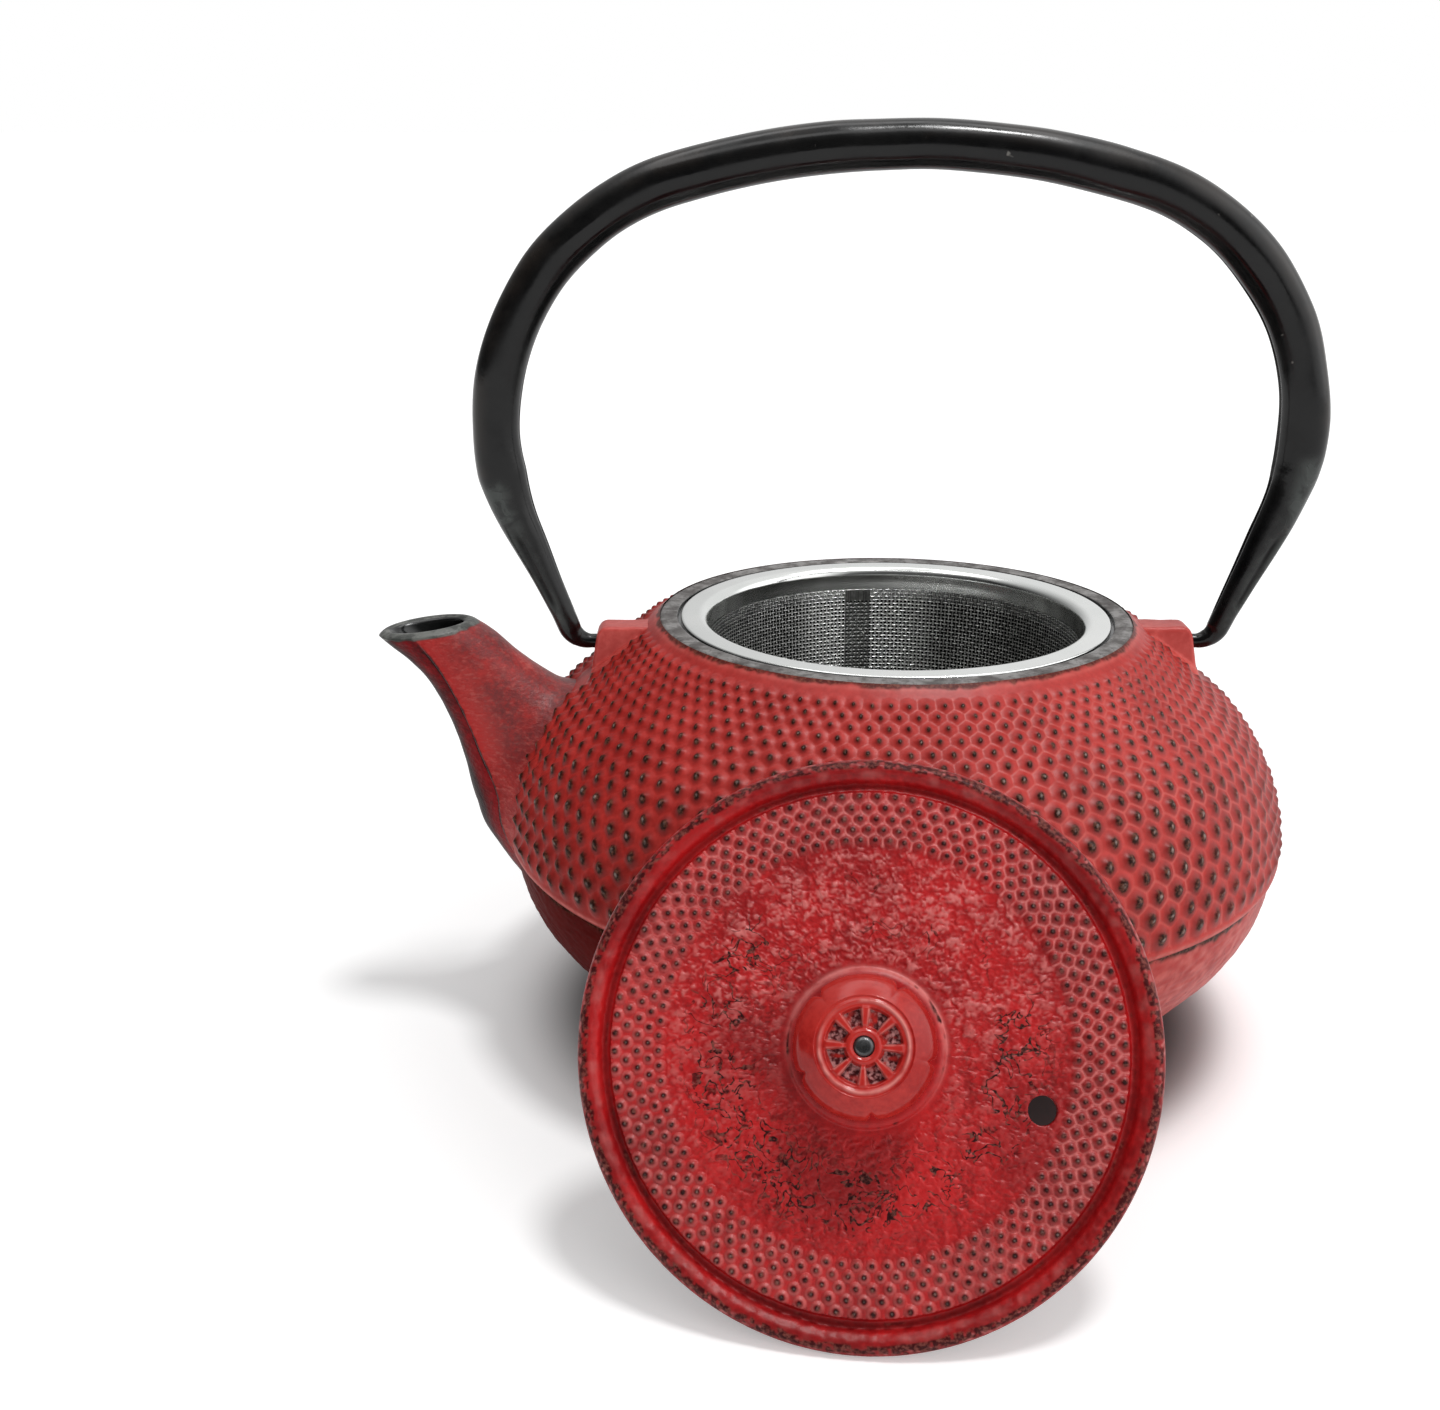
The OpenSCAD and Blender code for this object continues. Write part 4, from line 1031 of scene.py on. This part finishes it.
def lid(lacquer, iron):
    cols = LID_STUDS * 16
    foot_r = BOSS_R + 0.35
    boss = dense([(0.6, BOSS_TOP), (BOSS_R - 0.7, BOSS_TOP), (BOSS_R - 0.1, BOSS_TOP - 0.25),
                  (foot_r, CROWN)], 0.35)
    plate = dense([(foot_r, CROWN), (27.5, 3.2), (36.0, PLATE_T)], 0.17)[1:]
    bead = rounded([(36.0, PLATE_T), (36.3, 1.9), (37.4, 1.9), (37.9, 2.75), (38.9, 3.4), (39.9, 3.35),
                    (40.75, 2.6), (41.0, 1.7), (40.75, 0.8), (39.9, 0.1), (39.3, 0.0)], 0.4, 4)
    bead = dense(bead, 0.22)[1:]
    below = rounded([(39.3, 0.0), (SKIRT_R, 0.0), (SKIRT_R, -SKIRT_H), (SKIRT_R - 3, -SKIRT_H),
                     (SKIRT_R - 3, 0.1), (7.5, 1.2), (1.55, 1.2)], [0.6, 0.8, 0.8, 0.8, 0.5], 5)
    below = dense(below, 0.9)[1:]
    line = np.concatenate([boss, plate, bead, below])
    kind = np.repeat([0, 0, 1, 2], [len(boss), len(plate), len(bead), len(below)])
    is_top, is_edge = (kind == 0)[:, None], (kind == 1)[:, None]
    rings = turned(line, cols)
    x, y, z = np.moveaxis(rings, -1, 0)
    r = np.hypot(x, y)

    def noise(size, seed):
        return cast_noise(rings, size, seed)
    shape = (len(LID_ROW_R), LID_STUDS)
    sizes = np.random.default_rng(8).uniform(0.8, 1.15, shape)
    phases = np.arange(len(LID_ROW_R)) % 2 * 0.5 * TAU / LID_STUDS
    all_alive, no_shifts = np.ones(shape, bool), np.zeros((2,) + shape)
    near, edge_of_cell, size, _ = nearest_studs(np.arctan2(y, x) % TAU, r, LID_ROW_R, LID_ROW_R, phases,
                                                sizes, all_alive, no_shifts)

    # relief: studs with walls between them, a crumpled skin inside them, a broken bead
    rows_zone = is_top * step(27.9, 28.7, r) * (near < 1.2)
    rough_zone = is_top * band(BOSS_R + 0.6, BOSS_R + 2.0, 27.4, 29.2, r)
    rise = is_top * size * 0.66 * np.clip(1 - (near / 0.40) ** 2, 0, 1) ** 0.7
    rise = rise + rows_zone * 0.14 * hump(edge_of_cell, 0, 0.16) * (1 + noise(1.2, 69) * 0.6)
    lumps = rings * [0.85, 1.15, 1.0] + noise(1.0, 70)[..., None] * 0.4
    folds = cast_noise(lumps, 0.78, 71) + 0.8 * cast_noise(lumps, 0.38, 78) + 0.6 * noise(2.4, 72)
    rough = 0.17 * np.tanh(folds * 0.95) + noise(0.33, 87) * 0.035
    rise = rise + rough * rough_zone + noise(1.6, 73) * 0.03 * is_top
    bead_rough = (noise(0.8, 74) * 0.09 + noise(3.5, 75) * 0.06) * is_edge
    points = rings + UP * (rise + bead_rough * (z > 1.7))[..., None]

    # colour fields: which way the marks and the painted highlights gather, then worn iron and painted shade,
    # paler crests and painted highlights, and painted shade round the bead
    upper = step(-0.75, 0.75, y / r + noise(12.0, 79) * 0.5)
    # the side where the painted highlights between the studs show
    sheen_side = step(-0.9, 0.5, (y + 0.7 * x) / r + noise(12.0, 91) * 0.3)
    west = step(-10.0, 16.0, noise(9.0, 86) * 9 - x - 0.4 * y)
    patchy = step(0.0, 0.5, noise(3.5, 83) + 0.35 - 0.8 * upper + 0.35 * west)
    arc_zone = hump(r, 20.5, 4.5) * step(-0.5, 0.3, noise(4.0, 90) + 0.2 - 0.9 * upper + 0.5 * west)
    fine = rough + noise(0.45, 89) * 0.07
    worn = noise(1.1, 76) * 0.30 + noise(4.0, 77) * 0.30
    outer = is_edge * (z > 1.0) * (z < 3.6)

    bead_bare = step(0.14, 0.50, hump(r, 40.0, 0.62) * outer + worn * 0.8) * outer * step(38.9, 39.4, r)
    # dark: worn iron on the bead crest, painted shade in the groove inside the bead, a broken dark ring
    # round the boss foot, and black cracks
    marks = [bead_bare * (0.9 - 0.8 * step(0.05, 0.45, noise(0.55, 85))),
             step(0.9, 1.25, hump(r, 36.8, 0.5) * is_edge + worn) * 0.6,
             step(1.0, 1.3, hump(r, BOSS_R + 0.1, 0.5) * is_top + worn * 1.1),
             rough_zone * 0.85 * step(0.068, 0.108, -fine) * patchy * (0.30 + 0.70 * arc_zone)]
    # light: paler paint crumbs and painted highlights on the bead crest;
    # painted highlights on the bead's inner slope, the walls between studs, rings round the studs, the
    # skin's upper tops and the boss edge
    pale_and_sheen = 0.85 * step(0.0, 0.6, noise(0.55, 84)) * step(39.6, 40.3, r) * outer
    pale_and_sheen = pale_and_sheen + 0.35 * step(-0.2, 0.7, noise(1.6, 88)) * hump(r, 38.7, 0.7) * is_edge
    pale_and_sheen = pale_and_sheen + rows_zone * 0.80 * hump(edge_of_cell, 0, 0.14) * (0.10 + 0.90 * sheen_side)
    pale_and_sheen = pale_and_sheen + rows_zone * 0.40 * hump(near, 0.30, 0.10) * (1 - 0.7 * sheen_side)
    pale_and_sheen = pale_and_sheen + rough_zone * 0.78 * step(-0.03, 0.16, fine) * (0.08 + 0.92 * upper)
    pale_and_sheen = pale_and_sheen + 0.9 * hump(r, BOSS_R + 0.2, 0.45) * is_top * upper
    cracked = is_top * band(BOSS_R + 0.5, BOSS_R + 3.0, 25.5, 28.5, r) * np.clip(arc_zone * 1.4 + 0.15, 0, 1)
    # the smoky field: painted shade in the groove inside the bead and a little over the bead's outer half
    piece = skin("lid_plate", points, [lacquer, iron], LID, "lid_plate", zones=(kind == 2).astype(int),
                 masks={"stud": np.where(is_top, np.minimum(near, 1), 1.0), "crease": 1.0,
                        "bare": np.clip(np.max(marks, axis=0), 0, 1), "pale_and_sheen": np.clip(pale_and_sheen, 0, 1),
                        "rough": cracked,
                        "smoke_and_shade": (0.55 * hump(r, 37.0, 0.6) + 0.25 * step(37.8, 38.6, r)) * is_edge})
    pierce(piece, VENT_AT * np.array([math.cos(VENT_TURN), math.sin(VENT_TURN)]), VENT_R)
    co = np.zeros(len(piece.data.vertices) * 3, np.float32)
    piece.data.vertices.foreach_get("co", co)
    moved = leaned(co.reshape(-1, 3) / MM) * MM
    piece.data.vertices.foreach_set("co", moved.astype(np.float32).reshape(-1))
    piece.data.update()


def pierce(piece, centre, radius):
    """Opens a round vent through the flat plate and lines it with a wall."""
    reach = radius + 1.4
    plate_under, plate_over = 0.35, 1.8
    mesh = bmesh.new()
    mesh.from_mesh(piece.data)

    def away(v):
        return np.hypot(v.co.x / MM - centre[0], v.co.y / MM - centre[1])
    near = [v for v in mesh.verts if away(v) < reach]
    gone = [v for v in near if away(v) < radius]
    kept = [v for v in near if away(v) >= radius]
    bmesh.ops.delete(mesh, geom=gone, context="VERTS")
    edges = [e for v in kept for e in v.link_edges if e.is_boundary]
    edges = [e for e in dict.fromkeys(edges) if all(away(v) < reach for v in e.verts)]
    for v in {v for e in edges for v in e.verts}:
        d = np.array([v.co.x / MM - centre[0], v.co.y / MM - centre[1]])
        v.co.x, v.co.y = (centre + d * radius / np.linalg.norm(d)) * MM
    upper = [e for e in edges if e.verts[0].co.z > plate_over * MM]
    for new in bmesh.ops.extrude_edge_only(mesh, edges=upper)["geom"]:
        if isinstance(new, bmesh.types.BMVert):
            new.co.z = plate_under * MM
        elif isinstance(new, bmesh.types.BMFace):
            new.smooth = True
            new.material_index = 0
    mesh.to_mesh(piece.data)
    mesh.free()


KNOB_H, PETALS, SPOKES = 10.0, 5, 8


def knob(lacquer):
    turn = circle(400)
    b = BOSS_TOP
    line = dense(rounded([(7.3, b), (6.4, b + 1.0), (6.9, b + 2.3), (9.2, b + 4.1), (10.0, b + 6.0),
                          (9.3, b + 7.9), (7.6, b + 9.2), (6.75, b + 9.75)], 1.2), 0.18)
    r, z = line[:, :1], line[:, 1:]
    # each petal swells from a small notch and overlaps the next
    phase = (turn - 62 * RAD) * PETALS / TAU % 1.0
    notch = hump(np.minimum(phase, 1 - phase), 0, 0.035) * 0.75 + 0.55 * np.clip(1 - phase / 0.16, 0, 1) ** 2
    side = polar(r - hump(z, b + 6.1, 1.7) * notch * 0.9, turn, z)
    # top face: a thin ring, pits between spokes, a hub
    q = np.concatenate([np.linspace(6.7, 5.4, 14), np.linspace(5.3, 1.45, 50)])[:, None]
    spoke = np.abs(turn * SPOKES / TAU % 1.0 - 0.5) * 2
    wedge = 1 - step(0.56, 0.80, spoke)
    height = b + KNOB_H - 0.35 + 0.28 * hump(q, 6.05, 0.28) + 0.22 * hump(q, 1.95, 0.35)
    height = height + 0.20 * band(2.5, 3.1, 5.0, 5.6, q) * (1 - wedge)
    height = height - 0.95 * band(2.35, 2.75, 4.95, 5.35, q) * wedge
    points = np.concatenate([side, polar(q, turn, height)])

    def on_top(values):
        return np.concatenate([np.zeros(side.shape[:2]), values])
    pits = on_top(band(2.45, 2.95, 4.85, 5.2, q) * wedge)
    # painted highlights along the spoke edges and on the raised ring
    spoke_edge = hump(spoke, 0.72, 0.10) * band(2.4, 2.9, 4.9, 5.2, q)
    pale_and_sheen = on_top(0.85 * np.maximum(spoke_edge, hump(q, 6.05, 0.22)))
    worn = cast_noise(points, 0.7, 81) * 0.5
    # the pits between the spokes are darkened
    skin("knob", leaned(points), [lacquer], LID, "knob",
         masks={"stud": 1.0, "crease": 1.0, "bare": step(0.55, 0.95, pits + worn * pits),
                "pale_and_sheen": pale_and_sheen * step(-0.5, 0.5, cast_noise(points, 1.5, 82) + 0.35)})


def rivet(steel):
    top = BOSS_TOP + KNOB_H - 0.3
    line = rounded([(0.05, -1.3), (2.2, -1.3), (3.2, -0.8), (3.2, 0.2), (1.5, 0.2), (1.5, top - 0.2),
                    (1.1, top + 0.35), (0.05, top + 0.5)], [0.3, 0.5, 0.1, 0.1, 0.5, 0.4])
    skin("knob_rivet", leaned(turned(dense(line, 1.0), 64)), [steel], RIVET, "knob_rivet", caps=(True, True))
    line = rounded([(1.56, 0.2), (5.5, 0.2), (5.5, 1.18), (1.56, 1.18), (1.56, 0.2)], 0.15, 3)
    skin("knob_washer", leaned(turned(line, 96)), [steel], RIVET, "knob_washer")


# ---------------------------------------------------------------- stage and light

WHITE = (1, 1, 1, 1)


def floor_paper():
    """White paper that the camera sees a little brighter away from the pot, with a painted shadow right
    under it.
    """
    material, t, at, link, _ = finish_of("floor_paper", Roughness=1.0, Specular_IOR_Level=0.0,
                                         Emission_Color=WHITE)
    out = t.add("ShaderNodeVectorMath", "Value", {0: at}, operation="LENGTH")
    seen = t.add("ShaderNodeLightPath", "Is Camera Ray")
    link("Emission Strength", seen * t.ramp(out, 0.052, 0.076, 0.0, 0.30))
    # painted shadow: the paper's colour goes dark right under the pot
    link("Base Color", t.ramp(out, 0.050, 0.070, 0.10, 0.93))
    return material


def stage():
    mesh = bpy.data.meshes.new("floor")
    w = 12.0
    mesh.from_pydata([(-w, -w, 0), (w, -w, 0), (w, w, 0), (-w, w, 0)], [], [(0, 1, 2, 3)])
    floor = bpy.data.objects.new("floor", mesh)
    bpy.context.scene.collection.objects.link(floor)
    mesh.materials.append(floor_paper())


def studio():
    """An even white room for the camera; steel and lacquer see softboxes behind, beside and above."""
    world = bpy.data.worlds.new("studio")
    bpy.context.scene.world = world
    world.use_nodes = True
    t = Tree(world.node_tree)
    background = world.node_tree.nodes["Background"]
    background.inputs["Color"].default_value = WHITE
    way = t.where("Generated")
    behind = t.toward(way, (0.25, 0.72, 0.65))
    beside = t.toward(way, (0.90, -0.30, 0.32))
    above = t.toward(way, (0.0, 0.0, 1.0))
    strip = t.ramp(above, 0.84, 0.90) * t.ramp(above, 0.94, 0.98, 1.8, 0.0)
    glow = t.ramp(behind, -0.25, 0.75, 0.08, 0.88) * t.ramp(beside, -0.9, 0.1, 0.30, 1.0)
    mirrored = glow + (t.ramp(beside, 0.68, 0.95, 0.0, 1.15) + strip)
    level = t.ramp(beside, -0.8, 0.9, 0.33, 0.59)
    for ray, brightness in (("Glossy", mirrored), ("Camera", WHITE), ("Transmission", WHITE)):
        level = t.mix(t.add("ShaderNodeLightPath", "Is %s Ray" % ray), level, brightness)
    t.link(level, background.inputs["Strength"])


def sun(name, way, strength, spread, glints=True):
    """A soft far light; way points from the pot to the light."""
    data = bpy.data.lights.new(name, "SUN")
    data.energy = strength
    data.angle = spread * RAD
    piece = bpy.data.objects.new(name, data)
    piece.rotation_euler = Vector(way).to_track_quat("Z", "Y").to_euler()
    piece.visible_glossy = glints
    bpy.context.scene.collection.objects.link(piece)


# ---------------------------------------------------------------- build

add_camera()
pot_lacquer = studded_lacquer("pot_lacquer", srgb(185, 49, 43), srgb(160, 33, 27), srgb(206, 96, 88),
                              0.12, 0.24, speckle=0.35, relief=0.16)
lid_lacquer = studded_lacquer("lid_lacquer", srgb(188, 22, 25), srgb(146, 10, 15), srgb(216, 122, 118),
                              0.09, 0.25, speckle=1.0, relief=0.30, shade=0.42, dark_wear_and_shade=srgb(44, 12, 14),
                              worn_light=srgb(118, 66, 58), rough=0.40, crack_size=350.0, painted_glint_level=0.3)
knob_lacquer = studded_lacquer("knob_lacquer", srgb(190, 46, 40), srgb(160, 24, 22), srgb(224, 140, 132),
                               0.1, 0.2, relief=0.03, dark_wear_and_shade=srgb(70, 16, 20),
                               worn_light=srgb(196, 140, 138), rough=0.16)
ear_lacquer = plain_lacquer("ear_lacquer", srgb(208, 88, 80), srgb(186, 60, 54))
foot_lacquer = plain_lacquer("foot_lacquer", DEEP_RED, srgb(96, 10, 16), speckle=0.6)
rim_iron = bare_iron("rim_iron", srgb(144, 141, 139), srgb(84, 80, 78), red=0.8)
ear_iron = bare_iron("ear_iron", srgb(60, 60, 60), srgb(26, 26, 26))
under_iron = bare_iron("under_iron", srgb(52, 50, 50), srgb(22, 22, 22))
enamel = black_enamel()

studded_shoulder(pot_lacquer)
lower_bowl(pot_lacquer)
foot(foot_lacquer)
mouth_rim(rim_iron, enamel)
enamel_inside(enamel)
spout(spout_lacquer(), enamel)
ear("ear_right", 1, ear_lacquer, ear_iron)
ear("ear_left", -1, ear_lacquer, ear_iron)
bail(bail_finish())
infuser(polished_steel(), woven_steel("woven_steel", srgb(46, 47, 44), srgb(255, 255, 252)))
lid(lid_lacquer, under_iron)
knob(knob_lacquer)
rivet(dark_steel())
infuser_seam(woven_steel("lapped_steel", srgb(34, 35, 34), srgb(140, 141, 138)))

stage()
studio()
sun("key", (0.20, -0.10, 1.0), 1.2, 11)
sun("fill", (0.80, -0.9, 0.5), 0.62, 30, glints=False)
bpy.context.scene.view_settings.view_transform = "Standard"
